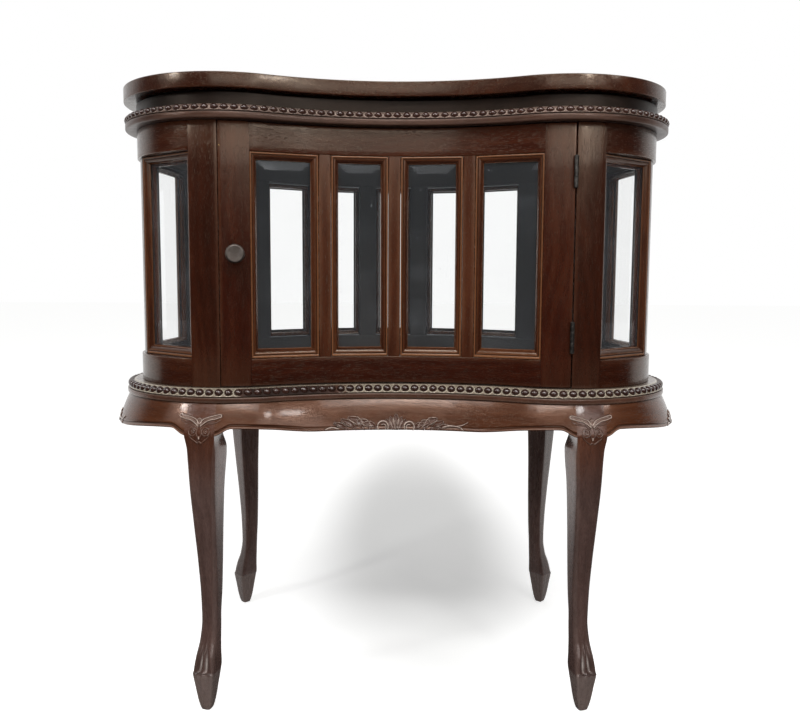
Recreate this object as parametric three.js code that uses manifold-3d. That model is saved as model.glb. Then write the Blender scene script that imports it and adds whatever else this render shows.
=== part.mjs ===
// Kidney-shaped china cabinet on cabriole legs: glazed all round, with one hinged door in the
// front bay. Millimetres, +Z up, the front facing -Y, the feet standing on z = 0.
import * as THREE from 'three';
import { mergeVertices } from 'three/addons/utils/BufferGeometryUtils.js';
import Module from 'manifold-3d';

const wasm = await Module();
wasm.setup();

// ---- Driving dimensions ----------------------------------------------------------------------

// Plan of the case: two round lobes, a hollow front bay and a broad bowed back
const lobeSpacing = 426.6; // between the lobes' centres
const lobeRadius = 127.9;
const bayDepth = 47.3; // the bay's middle behind the lobes' front line
const backReach = 311.1; // the back's middle behind the lobes' centres
const chordError = 0.3; // how far a flat facet may fall inside a true arc

// Heights
const legHeight = 391.2; // floor to the underside of the floor board
const floorBoardThickness = 16.8;
const caseHeight = 319.5; // clear height between the floor board and the case top
const caseTopThickness = 16;
const friezeHeight = 15.7;
const shadowLineHeight = 2.6;
const topBoardThickness = 17.6;

// Overhangs beyond the case wall
const topBoardReach = 12.6;
const topBoardChamfer = 0.8;
const topBoardDrift = 2.9; // the top board sits this far to the left of the case
const caseTopReach = 14.2;
const floorBoardReach = 19.2;
const apronReach = 32;
const shadowLineInset = 8;

// Moulded edges of the case top and the floor board: a leaning band of beads over a fillet
const caseTopBand = 8; // height of the band
const caseTopLean = 4; // how far the band's top stands back from its foot
const floorBoardBand = 9.5;
const floorBoardLean = 8.6;
const bandSwell = 1.5; // how far the band and its beads swell out
const bandInset = 0.6; // the band's foot behind the fillet's face
const filletRound = 1.6;
const quirkDepth = 2.2; // the groove between the fillet and the band
const quirkHalf = 0.8;

// Case walls
const caseWall = 24;
const topRailHeight = 35.5;
const bottomRailHeight = 34.5;
const frontPostWidth = 35.7;
const sideWindowWidths = [101.6, 119.6, 115.7]; // front, middle and rear, along the wall
const sideStileWidths = [31.3, 28.2]; // between them
const backWindowWidths = [63, 65.7, 78]; // the middle one, the next two and the outer two
const backStileWidths = [29.7, 26.7];
const backWindowDrift = 6; // the back windows sit this far left, as seen from the front
const stileInset = 3.5; // side and back stiles stand back from the rails' face

// Door
const doorWidth = 439.6; // along the bay's curve
const doorThickness = 20;
const doorGap = 1.6; // beside the door's stiles
const doorClearance = 1.2; // above and below the door
const doorStileWidth = 36.8;
const muntinWidth = 15.2;
const outerMuntinPlace = 89.8; // each outer muntin from the door's centre line
const middleMuntinDrift = 3.1; // the middle muntin sits this far to the left
const muntinInset = 0.6;

// Glazing
const paneFrameDepth = 10;
const paneFrameWidth = 9;
const paneFrameFootWidth = 11.5; // the frame's bottom member is a little wider
const paneFrameInset = 0.8; // the frame's lip behind the stiles' face
const paneLip = 3.2; // flat of the raised lip
const paneLipRound = 1.1;
const glassRebate = 3; // how far the frame covers the glass's edge
const glassSeat = 6.2; // depth of the glass's face behind the frame's lip
const glassThickness = 3.4;
const glassEdge = 1.8; // thickness left at the foot of the ground bevel
const glassBevel = 14;

// Apron under the floor board
const apronInnerFace = 4; // its hidden inner face, beyond the case wall
const apronBulgeDrop = 34.2; // from the apron's top to where its face starts to turn under
const apronToeRound = 8;
const apronSlope = 0.3; // outward run of the face for each mm down, just above the toe
const apronTopReach = 16.5;
const apronLowDrop = 37.8; // depth of the apron at its low middle stretches
const apronHighDrop = 29.4; // depth where the edge arches up beside each leg
const archStart = 14; // distances from a leg's middle, along the case wall
const archFull = 31;
const archFade = 135;

// Cabriole legs
const frontLegDrift = 17.4; // along the wall, outward from the lobe's foremost point
const backLegPlace = 261.4; // along the wall, from the back's centre line
const backLegDrift = 4.1; // the back legs sit this far left, as seen from the front
const frontLegTurn = 14; // degrees outward from straight ahead
const backLegTurn = 42;
const legTopWidth = 38;
const legTopDepth = 46;
const legTopRound = 0.8; // the corners of the block behind the knee
const kneeDrop = 56.2; // from the floor board to the knee's lowest carving line
const kneeHalf = 18.5;
const kneeSetback = 3.5; // the knee's face behind the apron's widest line
const kneeRound = 2;
const ankleHeight = 112;
const ankleHalf = 10.3;
const ankleRound = 4;
const ankleBack = 42.6; // the ankle's middle behind the knee's face
const legSplay = 8.1; // the foot stands this far out to the side of the knee
const footBack = 27; // the foot's middle behind the knee's face
const footHalf = 6;
const toeHeight = 49.5;
const toeHalf = 13.9;
const toePoint = 2;
const toeRound = 3.2;
const soleRound = 2.4;
const solePoint = 0.5;

// Hinges, knob and catch
const hingeLength = 38;
const upperHingeDrop = 57.6; // the upper hinge's middle below the door's top edge
const lowerHingeRise = 61.6; // the lower hinge's middle above the door's bottom edge
const leafThickness = 1.2;
const leafDepth = 16;
const leafSpread = 0.3; // each leaf stands this far from the gap's middle
const knuckleRadius = 2.7;
const pinProud = 3.5; // the pin's axis in front of the wall's face
const hingeSet = 1.1; // the hinge stands this far from the gap's middle, into the door's edge
const pinRadius = 1.3;
const pinClearance = 0.2;
const knuckleGap = 0.3;
const knobPlace = 200.6; // along the curve, left of the centre line
const knobRise = 1.75; // above the door's middle
const knobRadius = 11.5;
const knobReach = 20;
const knobDish = 1.2; // hollow of the knob's face
const knobRimWidth = 1.8; // flat rim round the hollow
const knobRimRound = 1;
const knobEdgeHeight = 4.2; // the knob's widest line behind its face
const knobHeadHeight = 7; // the head's underside behind its face
const knobUnderStep = 2.5; // the underside is this much smaller in radius
const knobConeHeight = 4.5; // from the head's underside down to the neck
const knobRoseRadius = 7.5;
const knobRoseHeight = 3.6;
const knobRoseRound = 1.2;
const knobNeckRadius = 4.2;
const shankRadius = 2;
const shankLength = 15;
const shankClearance = 0.3;
const catchPlace = 200;
const catchWidth = 24;
const catchHeight = 14;
const catchDepth = 13;
const strikeWidth = 14;
const strikeThickness = 1;
const strikeStandoff = 0.8; // clears the hollow of the stile's curved inner face
const strikeInset = 2; // below the door's top edge

const gap = 0.3; // between pieces that touch

// ---- Levels ----------------------------------------------------------------------------------

const floorTop = legHeight + floorBoardThickness;
const caseTopLevel = floorTop + caseHeight;
const friezeLevel = caseTopLevel + caseTopThickness + gap;
const shadowLevel = friezeLevel + friezeHeight;
const topBoardLevel = shadowLevel + shadowLineHeight + gap;
const openingLow = floorTop + bottomRailHeight;
const openingHigh = caseTopLevel - topRailHeight;
const apronTop = legHeight - gap;
const doorLow = floorTop + doorClearance;
const doorHigh = caseTopLevel - doorClearance;
const upperHingeHeight = doorHigh - upperHingeDrop;
const lowerHingeHeight = doorLow + lowerHingeRise;
const knobHeight = (doorLow + doorHigh) / 2 + knobRise;

// ---- Materials -------------------------------------------------------------------------------

const finishes = {
  mahogany: { color: 0x4b2216, roughness: 0.38, metalness: 0 },
  darkMahogany: { color: 0x3a2019, roughness: 0.42, metalness: 0 },
  glass: { color: 0xcfdadb, roughness: 0.05, metalness: 0, transparent: true, opacity: 0.3 },
  bronze: { color: 0x5b5048, roughness: 0.45, metalness: 1 },
  iron: { color: 0x2f2b28, roughness: 0.5, metalness: 1 },
};

function piece(name, geometry, finish) {
  const mesh = new THREE.Mesh(geometry, new THREE.MeshStandardMaterial(finishes[finish]));
  mesh.name = name;
  return mesh;
}

// ---- The kidney plan -------------------------------------------------------------------------

// The four arcs touch where their radii line up. Places along the wall are lengths of the plain
// wall line: 0 at the front's middle, growing to the right and on round the back.
const lobeX = lobeSpacing / 2;
const bayCentre = (lobeX ** 2 - bayDepth ** 2) / (2 * bayDepth); // in front of the lobes' centres
const bayRadius = bayCentre + bayDepth - lobeRadius;
const backRise = backReach - lobeRadius;
const backCentre = (backRise ** 2 - lobeX ** 2) / (2 * backRise);
const backRadius = backReach - backCentre;
const bayAngle = Math.atan2(lobeX, bayCentre);
const backAngle = Math.atan2(lobeX, -backCentre);
const lobeAngle = bayAngle + Math.PI - backAngle;

const bayEnd = bayRadius * bayAngle;
const lobeFront = bayEnd + lobeRadius * bayAngle;
const lobeEnd = bayEnd + lobeRadius * lobeAngle;
const halfWall = lobeEnd + backRadius * backAngle;
const wholeWall = 2 * halfWall;

// The wall's point and outward direction at a place on the right-hand half
function rightHalfPlace(along) {
  if (along <= bayEnd) {
    const turn = along / bayRadius;
    return {
      point: new THREE.Vector2(bayRadius * Math.sin(turn), bayRadius * Math.cos(turn) - bayCentre),
      out: new THREE.Vector2(-Math.sin(turn), -Math.cos(turn)),
    };
  }
  if (along <= lobeEnd) {
    const turn = (along - bayEnd) / lobeRadius - bayAngle;
    const out = new THREE.Vector2(Math.sin(turn), -Math.cos(turn));
    return { point: out.clone().multiplyScalar(lobeRadius).add(new THREE.Vector2(lobeX, 0)), out };
  }
  const turn = backAngle - (along - lobeEnd) / backRadius;
  const out = new THREE.Vector2(Math.sin(turn), Math.cos(turn));
  return { point: out.clone().multiplyScalar(backRadius).add(new THREE.Vector2(0, backCentre)), out };
}

function placeOnWall(along) {
  const wrapped = ((along % wholeWall) + wholeWall) % wholeWall;
  const mirrored = wrapped > halfWall;
  const place = rightHalfPlace(mirrored ? wholeWall - wrapped : wrapped);
  if (mirrored) {
    place.point.x *= -1;
    place.out.x *= -1;
  }
  return place;
}

function wallPoint(along, reach) {
  const { point, out } = placeOnWall(along);
  return point.addScaledVector(out, reach);
}

// Places from one end to the other, close enough that a straight facet stays on the arc
function stations(from, to, extra = []) {
  const lobeSide = lobeFront + (lobeRadius * Math.PI) / 2;
  const half = [0, bayEnd, lobeFront, lobeSide, lobeEnd, halfWall];
  const marks = [...half, ...half.map((mark) => wholeWall - mark), ...extra];
  const inside = marks
    .flatMap((mark) => [mark - wholeWall, mark, mark + wholeWall])
    .filter((mark) => mark > from + 1 && mark < to - 1)
    .sort((a, b) => a - b);
  const ends = [from, ...inside.filter((mark, i) => i === 0 || mark - inside[i - 1] > 1), to];
  const places = [from];
  for (let i = 1; i < ends.length; i += 1) {
    const length = ends[i] - ends[i - 1];
    const middle = Math.abs(((ends[i] + ends[i - 1]) / 2 + halfWall + wholeWall) % wholeWall - halfWall);
    const radius = middle < bayEnd ? bayRadius : middle < lobeEnd ? lobeRadius : backRadius;
    const steps = Math.ceil(length / Math.sqrt(8 * radius * chordError));
    for (let step = 1; step <= steps; step += 1) {
      places.push(ends[i - 1] + (length * step) / steps);
    }
  }
  return places;
}

function kidneyRing(reach, z) {
  return stations(0, wholeWall)
    .slice(0, -1)
    .map((along) => {
      const point = wallPoint(along, reach);
      return new THREE.Vector3(point.x, point.y, z);
    });
}

// A frame standing on the wall: x along it, y into the cabinet, z up
function wallFrame(along, reach, z, child) {
  const { out } = placeOnWall(along);
  const point = wallPoint(along, reach);
  const frame = new THREE.Group();
  frame.position.set(point.x, point.y, z);
  frame.rotation.z = Math.atan2(out.x, -out.y);
  frame.add(child);
  return frame;
}

// ---- Solid helpers ---------------------------------------------------------------------------

function signedVolume(positions, index) {
  const [a, b, c] = [new THREE.Vector3(), new THREE.Vector3(), new THREE.Vector3()];
  let volume = 0;
  for (let i = 0; i < index.length; i += 3) {
    a.fromArray(positions, index[i] * 3);
    b.fromArray(positions, index[i + 1] * 3);
    c.fromArray(positions, index[i + 2] * 3);
    volume += a.dot(b.cross(c)) / 6;
  }
  return volume;
}

// Triangles that close a flat loop, wound the same way as the loop
function loopFaces(loop) {
  const normal = new THREE.Vector3();
  loop.forEach((point, i) => {
    const next = loop[(i + 1) % loop.length];
    normal.add(new THREE.Vector3().crossVectors(point.clone().sub(loop[0]), next.clone().sub(loop[0])));
  });
  const turn = new THREE.Quaternion().setFromUnitVectors(normal.normalize(), new THREE.Vector3(0, 0, 1));
  const flat = loop.map((point) => {
    const turned = point.clone().applyQuaternion(turn);
    return new THREE.Vector2(turned.x, turned.y);
  });
  const clockwise = THREE.ShapeUtils.isClockWise(flat);
  return THREE.ShapeUtils.triangulateShape(flat, []).map((face) => {
    const same = THREE.ShapeUtils.isClockWise(face.map((corner) => flat[corner])) === clockwise;
    return same ? face : [...face].reverse();
  });
}

// Joins loops of equal size into one skin. An open run is capped at both ends.
function skin(loops, closed = false) {
  const size = loops[0].length;
  const positions = loops.flat().flatMap((point) => [point.x, point.y, point.z]);
  const index = [];
  const spans = closed ? loops.length : loops.length - 1;
  for (let i = 0; i < spans; i += 1) {
    const here = i * size;
    const there = ((i + 1) % loops.length) * size;
    for (let j = 0; j < size; j += 1) {
      const k = (j + 1) % size;
      index.push(here + j, here + k, there + k, here + j, there + k, there + j);
    }
  }
  if (!closed) {
    const last = (loops.length - 1) * size;
    loopFaces(loops[0]).forEach(([a, b, c]) => index.push(c, b, a));
    loopFaces(loops[loops.length - 1]).forEach(([a, b, c]) => index.push(last + a, last + b, last + c));
  }
  if (signedVolume(positions, index) < 0) {
    index.reverse();
  }
  const geometry = new THREE.BufferGeometry();
  geometry.setAttribute('position', new THREE.Float32BufferAttribute(positions, 3));
  geometry.setIndex(index);
  return geometry;
}

function toManifold(geometry) {
  const bare = geometry.clone();
  bare.deleteAttribute('normal');
  bare.deleteAttribute('uv');
  const merged = mergeVertices(bare);
  return new wasm.Manifold(
    new wasm.Mesh({
      numProp: 3,
      vertProperties: new Float32Array(merged.attributes.position.array),
      triVerts: new Uint32Array(merged.index.array),
    }),
  );
}

function fromManifold(solid) {
  const mesh = solid.getMesh();
  const geometry = new THREE.BufferGeometry();
  geometry.setAttribute('position', new THREE.BufferAttribute(mesh.vertProperties, 3));
  geometry.setIndex(new THREE.BufferAttribute(mesh.triVerts, 1));
  return geometry;
}

function cutAway(geometry, cutters) {
  const solid = cutters.reduce((left, cutter) => left.subtract(toManifold(cutter)), toManifold(geometry));
  return fromManifold(solid);
}

function joined(geometries) {
  const [first, ...rest] = geometries.map(toManifold);
  return fromManifold(rest.reduce((whole, next) => whole.add(next), first));
}

// A box from its low corner to its high corner
function boxBetween(low, high) {
  const size = high.map((value, axis) => value - low[axis]);
  const middle = high.map((value, axis) => (value + low[axis]) / 2);
  return new THREE.BoxGeometry(...size).translate(...middle);
}

// ---- Curved wall members ---------------------------------------------------------------------

// An upright or a rail: a stretch of wall between two faces, cut off square to the wall
function wallMember(from, to, outerReach, innerReach, low, high) {
  const places = stations(from + gap / 2, to - gap / 2);
  const outer = places.map((along) => wallPoint(along, outerReach));
  const inner = places.map((along) => wallPoint(along, innerReach)).reverse();
  const plan = new THREE.Shape([...outer, ...inner]);
  return new THREE.ExtrudeGeometry(plan, { depth: high - low, bevelEnabled: false }).translate(0, 0, low);
}

// ---- Boards ----------------------------------------------------------------------------------

// Edge of a moulded board from its underside up: a rounded fillet, a quirk and the leaning band
function mouldedEdge(reach, low, high, band, lean) {
  const quirk = high - band;
  const foot = new THREE.Vector2(reach - bandInset, quirk + quirkHalf);
  const head = new THREE.Vector2(reach - lean, high);
  const along = head.clone().sub(foot);
  const outward = new THREE.Vector2(along.y, -along.x).normalize();
  const swelling = [0, 1 / 4, 1 / 2, 3 / 4, 1].map((part) => {
    const swell = 4 * bandSwell * part * (1 - part);
    const point = foot.clone().addScaledVector(along, part).addScaledVector(outward, swell);
    return [point.x, point.y];
  });
  return [
    [reach - filletRound, low],
    [reach, low + filletRound],
    [reach, quirk - quirkHalf],
    [reach - quirkDepth, quirk],
    ...swelling,
  ];
}

function board(edge) {
  return skin(edge.map(([reach, z]) => kidneyRing(reach, z)));
}

function boards() {
  const topBoardTop = topBoardLevel + topBoardThickness;
  const topBoard = board([
    [topBoardReach, topBoardLevel],
    [topBoardReach, topBoardTop - topBoardChamfer],
    [topBoardReach - topBoardChamfer, topBoardTop],
  ]);
  const frieze = board([
    [0, friezeLevel],
    [0, shadowLevel],
    [-shadowLineInset, shadowLevel],
    [-shadowLineInset, shadowLevel + shadowLineHeight],
  ]);
  const caseTopTop = caseTopLevel + caseTopThickness;
  const caseTop = board(mouldedEdge(caseTopReach, caseTopLevel, caseTopTop, caseTopBand, caseTopLean));
  const floorBoard = board(
    mouldedEdge(floorBoardReach, legHeight, floorTop, floorBoardBand, floorBoardLean),
  );
  return [
    piece('top_board', topBoard.translate(-topBoardDrift, 0, 0), 'mahogany'),
    piece('frieze', frieze, 'mahogany'),
    piece('case_top', caseTop, 'mahogany'),
    piece('case_floor', floorBoard, 'mahogany'),
  ];
}

// ---- Windows ---------------------------------------------------------------------------------

// The flat opening between two uprights. The uprights' cut faces lean in as the wall bends, so
// each side's lean is kept with the width.
function windowOpening(from, to, reach) {
  const start = from + gap / 2;
  const end = to - gap / 2;
  const left = wallPoint(start, reach);
  const right = wallPoint(end, reach);
  const chord = right.clone().sub(left);
  const facing = Math.atan2(chord.y, chord.x);
  const leanAt = (along) => {
    const { out } = placeOnWall(along);
    const lean = facing - Math.atan2(out.x, -out.y);
    return Math.atan2(Math.sin(lean), Math.cos(lean));
  };
  return {
    middle: left.clone().add(right).multiplyScalar(0.5),
    facing,
    width: chord.length(),
    leanLeft: Math.tan(leanAt(start)),
    leanRight: -Math.tan(leanAt(end)),
    height: openingHigh - openingLow - 2 * gap,
  };
}

function placedInOpening(opening, child) {
  const frame = new THREE.Group();
  frame.position.set(opening.middle.x, opening.middle.y, (openingLow + openingHigh) / 2);
  frame.rotation.z = opening.facing;
  frame.add(child);
  return frame;
}

// A rectangle inside an opening at some depth, stepped in from each side
function openingLoop(opening, depth, sideInset, footInset = sideInset) {
  const left = -opening.width / 2 + Math.max(opening.leanLeft * depth, 0) + sideInset;
  const right = opening.width / 2 - Math.max(opening.leanRight * depth, 0) - sideInset;
  const low = -opening.height / 2 + footInset;
  const high = opening.height / 2 - sideInset;
  return [
    new THREE.Vector3(left, depth, low),
    new THREE.Vector3(right, depth, low),
    new THREE.Vector3(right, depth, high),
    new THREE.Vector3(left, depth, high),
  ];
}

// Mitred moulding round a pane: a raised lip, a slope down to the glass and a rebate behind
function paneFrame(opening) {
  const footRatio = paneFrameFootWidth / paneFrameWidth;
  const loop = (depth, inset) => {
    const flat = { ...opening, leanLeft: 0, leanRight: 0 };
    return openingLoop(flat, depth, inset, inset * footRatio);
  };
  const rebate = paneFrameWidth - glassRebate;
  return skin(
    [
      openingLoop(opening, paneFrameDepth, 0),
      openingLoop(opening, paneLipRound, 0),
      loop(0, paneLipRound),
      loop(0, paneLip),
      loop(paneLipRound, paneLip + paneLipRound),
      loop(glassSeat - paneLipRound, paneFrameWidth),
      loop(glassSeat - gap, paneFrameWidth),
      loop(glassSeat - gap, rebate),
      loop(paneFrameDepth, rebate),
    ],
    true,
  );
}

// A pane with its outer face ground to a bevel round the edge
function bevelledPane(opening, sideInset, footInset) {
  const back = glassSeat + glassThickness;
  const bevelFoot = back - glassEdge;
  return skin([
    openingLoop(opening, back, sideInset, footInset),
    openingLoop(opening, bevelFoot, sideInset, footInset),
    openingLoop(opening, glassSeat, sideInset + glassBevel, footInset + glassBevel),
  ]);
}

// ---- Case walls ------------------------------------------------------------------------------

// Where the members of the right-hand wall begin and end, from the door towards the back
const postStart = doorWidth / 2 + doorGap;
const wallStart = postStart + frontPostWidth;
const sideWindows = [];
const sideStiles = [];
let reached = wallStart;
sideWindowWidths.forEach((width, i) => {
  sideWindows.push([reached, reached + width]);
  reached += width;
  if (i < sideStileWidths.length) {
    sideStiles.push([reached, reached + sideStileWidths[i]]);
    reached += sideStileWidths[i];
  }
});
const backPostStart = reached;

// The back's windows and stiles, from its middle outwards, each with its mirror image
const [middleWindow, nextWindow, outerWindow] = backWindowWidths;
const firstStile = middleWindow / 2;
const secondWindow = firstStile + backStileWidths[0];
const secondStile = secondWindow + nextWindow;
const thirdWindow = secondStile + backStileWidths[1];
const backWindowsEnd = thirdWindow + outerWindow;
const backMiddle = halfWall + backWindowDrift;
const onBothSides = ([near, far]) => [
  [backMiddle - far, backMiddle - near],
  [backMiddle + near, backMiddle + far],
];
const backWindows = [
  [backMiddle - firstStile, backMiddle + firstStile],
  ...onBothSides([secondWindow, secondStile]),
  ...onBothSides([thirdWindow, backWindowsEnd]),
].sort((a, b) => a[0] - b[0]);
const backStiles = [
  ...onBothSides([firstStile, secondWindow]),
  ...onBothSides([secondStile, thirdWindow]),
].sort((a, b) => a[0] - b[0]);

const mirroredRun = ([from, to]) => [wholeWall - to, wholeWall - from];

const hingePlace = doorWidth / 2 + doorGap / 2 - hingeSet;

// Pocket for both leaves of a hinge, cut into the door's edge and the post's
function hingeMortise(z) {
  const half = hingeLength / 2 + gap;
  const reach = leafSpread + leafThickness + gap;
  const pocket = boxBetween([-reach, -knuckleRadius, z - half], [reach, leafDepth + gap, z + half]);
  const { out } = placeOnWall(hingePlace);
  const point = wallPoint(hingePlace, 0);
  return pocket.rotateZ(Math.atan2(out.x, -out.y)).translate(point.x, point.y, 0);
}

function rails() {
  const run = [wallStart, wholeWall - wallStart];
  const topRail = wallMember(...run, 0, -caseWall, openingHigh, caseTopLevel - gap);
  const bottomRail = wallMember(...run, 0, -caseWall, floorTop + gap, openingLow);
  return [
    piece('case_top_rail', topRail, 'mahogany'),
    piece('case_bottom_rail', bottomRail, 'mahogany'),
  ];
}

function posts() {
  const frontRun = [postStart - gap / 2, wallStart];
  const backRun = [backPostStart, backMiddle - backWindowsEnd];
  const farBackRun = [backMiddle + backWindowsEnd, wholeWall - backPostStart];
  const upright = (run, outer, low, high) => wallMember(...run, outer, -caseWall, low, high);
  const fullHeight = [floorTop + gap, caseTopLevel - gap];
  const betweenRails = [openingLow + gap, openingHigh - gap];
  const hingePost = cutAway(upright(frontRun, 0, ...fullHeight), [
    hingeMortise(upperHingeHeight),
    hingeMortise(lowerHingeHeight),
  ]);
  return [
    piece('front_post_right', hingePost, 'mahogany'),
    piece('front_post_left', upright(mirroredRun(frontRun), 0, ...fullHeight), 'mahogany'),
    piece('back_post_right', upright(backRun, -stileInset, ...betweenRails), 'mahogany'),
    piece('back_post_left', upright(farBackRun, -stileInset, ...betweenRails), 'mahogany'),
  ];
}

function stiles() {
  const stile = (name, run) => {
    const levels = [openingLow + gap, openingHigh - gap];
    return piece(name, wallMember(...run, -stileInset, -caseWall, ...levels), 'mahogany');
  };
  const sideNames = ['side_stile_front', 'side_stile_rear'];
  return [
    ...sideStiles.flatMap((run, i) => [
      stile(`${sideNames[i]}_right`, run),
      stile(`${sideNames[i]}_left`, mirroredRun(run)),
    ]),
    ...backStiles.map((run, i) => stile(`back_stile_${i + 1}`, run)),
  ];
}

// Fixed panes fill their openings. Thin mouldings planted round them hold them in.
function fixedGlass() {
  const pane = (name, run) => {
    const opening = windowOpening(...run, -stileInset);
    return placedInOpening(opening, piece(name, bevelledPane(opening, 0, 0), 'glass'));
  };
  const sideNames = ['side_glass_front', 'side_glass_middle', 'side_glass_rear'];
  return [
    ...sideWindows.flatMap((run, i) => [
      pane(`${sideNames[i]}_right`, run),
      pane(`${sideNames[i]}_left`, mirroredRun(run)),
    ]),
    ...backWindows.map((run, i) => pane(`back_glass_${i + 1}`, run)),
  ];
}

// ---- Door ------------------------------------------------------------------------------------

const doorHalf = doorWidth / 2;
const stileEdge = doorHalf - doorStileWidth;
const muntinPlaces = [-outerMuntinPlace, -middleMuntinDrift, outerMuntinPlace];

function doorWood() {
  const stile = (from, to) => wallMember(from, to, 0, -doorThickness, doorLow, doorHigh);
  const rail = (low, high) => wallMember(-stileEdge, stileEdge, 0, -doorThickness, low, high);
  const { out } = placeOnWall(-knobPlace);
  const point = wallPoint(-knobPlace, 0);
  const boreDepth = shankLength + shankClearance;
  const boreRadius = shankRadius + shankClearance;
  const bore = new THREE.CylinderGeometry(boreRadius, boreRadius, 2 * boreDepth, 16)
    .rotateZ(Math.atan2(out.x, -out.y))
    .translate(point.x, point.y, knobHeight);
  const leftStile = cutAway(stile(-doorHalf, -stileEdge), [bore]);
  const rightStile = cutAway(stile(stileEdge, doorHalf + gap / 2), [
    hingeMortise(upperHingeHeight),
    hingeMortise(lowerHingeHeight),
  ]);
  const muntins = muntinPlaces.map((place, i) => {
    const run = [place - muntinWidth / 2, place + muntinWidth / 2];
    const levels = [openingLow + gap, openingHigh - gap];
    const muntin = wallMember(...run, -muntinInset, -doorThickness, ...levels);
    return piece(`door_muntin_${i + 1}`, muntin, 'mahogany');
  });
  return [
    piece('door_stile_left', leftStile, 'mahogany'),
    piece('door_stile_right', rightStile, 'mahogany'),
    piece('door_top_rail', rail(openingHigh, doorHigh), 'mahogany'),
    piece('door_bottom_rail', rail(doorLow, openingLow), 'mahogany'),
    ...muntins,
  ];
}

function doorPanes() {
  const muntinEdges = muntinPlaces.flatMap((place) => [place - muntinWidth / 2, place + muntinWidth / 2]);
  const edges = [-stileEdge, ...muntinEdges, stileEdge];
  const footRatio = paneFrameFootWidth / paneFrameWidth;
  const rebate = paneFrameWidth - glassRebate;
  const pieces = [];
  for (let i = 0; i < edges.length / 2; i += 1) {
    const opening = windowOpening(edges[2 * i], edges[2 * i + 1], -paneFrameInset);
    const flat = { ...opening, leanLeft: 0, leanRight: 0 };
    const frame = piece(`door_pane_frame_${i + 1}`, paneFrame(opening), 'mahogany');
    const pane = bevelledPane(flat, rebate + gap, rebate * footRatio + gap);
    pieces.push(placedInOpening(opening, frame));
    pieces.push(placedInOpening(opening, piece(`door_glass_${i + 1}`, pane, 'glass')));
  }
  return pieces;
}

// A round pull: a rose on the stile, a neck and a shallow-dished head, with a shank into the wood
function knob() {
  const headBack = knobReach - knobHeadHeight;
  const profile = [
    [0, -shankLength],
    [shankRadius, -shankLength],
    [shankRadius, gap],
    [knobRoseRadius, gap],
    [knobRoseRadius - knobRoseRound, knobRoseHeight - knobRoseRound],
    [knobNeckRadius, knobRoseHeight],
    [knobNeckRadius, headBack - knobConeHeight],
    [knobRadius - knobUnderStep, headBack],
    [knobRadius, knobReach - knobEdgeHeight],
    [knobRadius - knobRimRound, knobReach - knobRimRound],
    [knobRadius - knobRimRound - knobRimWidth, knobReach],
    [0, knobReach - knobDish],
  ];
  const outline = profile.map(([radius, height]) => new THREE.Vector2(radius, height));
  const turned = new THREE.LatheGeometry(outline, 18);
  return wallFrame(-knobPlace, 0, knobHeight, piece('knob', turned.rotateX(Math.PI), 'bronze'));
}

// ---- Hinges and catch ------------------------------------------------------------------------

// Upright round bar on the hinge's axis, in the hinge's own frame
function hingeBar(radius, low, high) {
  return new THREE.CylinderGeometry(radius, radius, high - low, 16)
    .rotateX(Math.PI / 2)
    .translate(0, -pinProud, (low + high) / 2);
}

// A butt hinge: the post's leaf carries the end knuckles and the pin, the door's leaf the middle
function hinge(name, z) {
  const half = hingeLength / 2;
  const third = hingeLength / 6;
  const ends = [[-half, -third - knuckleGap / 2], [third + knuckleGap / 2, half]];
  const middle = [-third + knuckleGap / 2, third - knuckleGap / 2];
  const plate = (side, front, low, high) => {
    const xs = [side * leafSpread, side * (leafSpread + leafThickness)].sort((a, b) => a - b);
    return boxBetween([xs[0], front, low], [xs[1], leafDepth, high]);
  };
  const postLeaf = joined([
    plate(1, 0, -half, half),
    ...ends.map(([low, high]) => plate(1, -pinProud, low, high)),
    ...ends.map(([low, high]) => hingeBar(knuckleRadius, low, high)),
    hingeBar(pinRadius, -half, half),
  ]);
  const doorLeaf = joined([
    plate(-1, 0, -half, half),
    plate(-1, -pinProud, ...middle),
    hingeBar(knuckleRadius, ...middle),
  ]);
  const boredDoorLeaf = cutAway(doorLeaf, [hingeBar(pinRadius + pinClearance, -half, half)]);
  return {
    post: wallFrame(hingePlace, 0, z, piece(`hinge_post_leaf_${name}`, postLeaf, 'iron')),
    door: wallFrame(hingePlace, 0, z, piece(`hinge_door_leaf_${name}`, boredDoorLeaf, 'iron')),
  };
}

// A magnetic catch under the case top, and the strike that it holds on the door's inner face
function catchAndStrike() {
  const strikeFace = doorThickness + strikeStandoff;
  const catchFace = strikeFace + strikeThickness + gap;
  const high = caseTopLevel - gap;
  const block = boxBetween(
    [-catchWidth / 2, catchFace, high - catchHeight],
    [catchWidth / 2, catchFace + catchDepth, high],
  );
  const plate = boxBetween(
    [-strikeWidth / 2, strikeFace, high - catchHeight],
    [strikeWidth / 2, strikeFace + strikeThickness, doorHigh - strikeInset],
  );
  return {
    catchBlock: wallFrame(-catchPlace, 0, 0, piece('magnetic_catch', block, 'iron')),
    strike: wallFrame(-catchPlace, 0, 0, piece('strike_plate', plate, 'iron')),
  };
}

// ---- Apron -----------------------------------------------------------------------------------

const ease = (part) => {
  const t = Math.min(Math.max(part, 0), 1);
  return t * t * (3 - 2 * t);
};

const bulgeLevel = apronTop - apronBulgeDrop;
const apronLean = Math.atan(apronSlope);
const toeAxisReach = apronReach - apronToeRound;
const toeAxisLevel = bulgeLevel - apronToeRound * Math.sin(apronLean);
const bulgeReach = toeAxisReach + apronToeRound * Math.cos(apronLean);
const apronBend = (bulgeReach - apronTopReach - apronSlope * apronBulgeDrop) / apronBulgeDrop ** 2;

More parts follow.
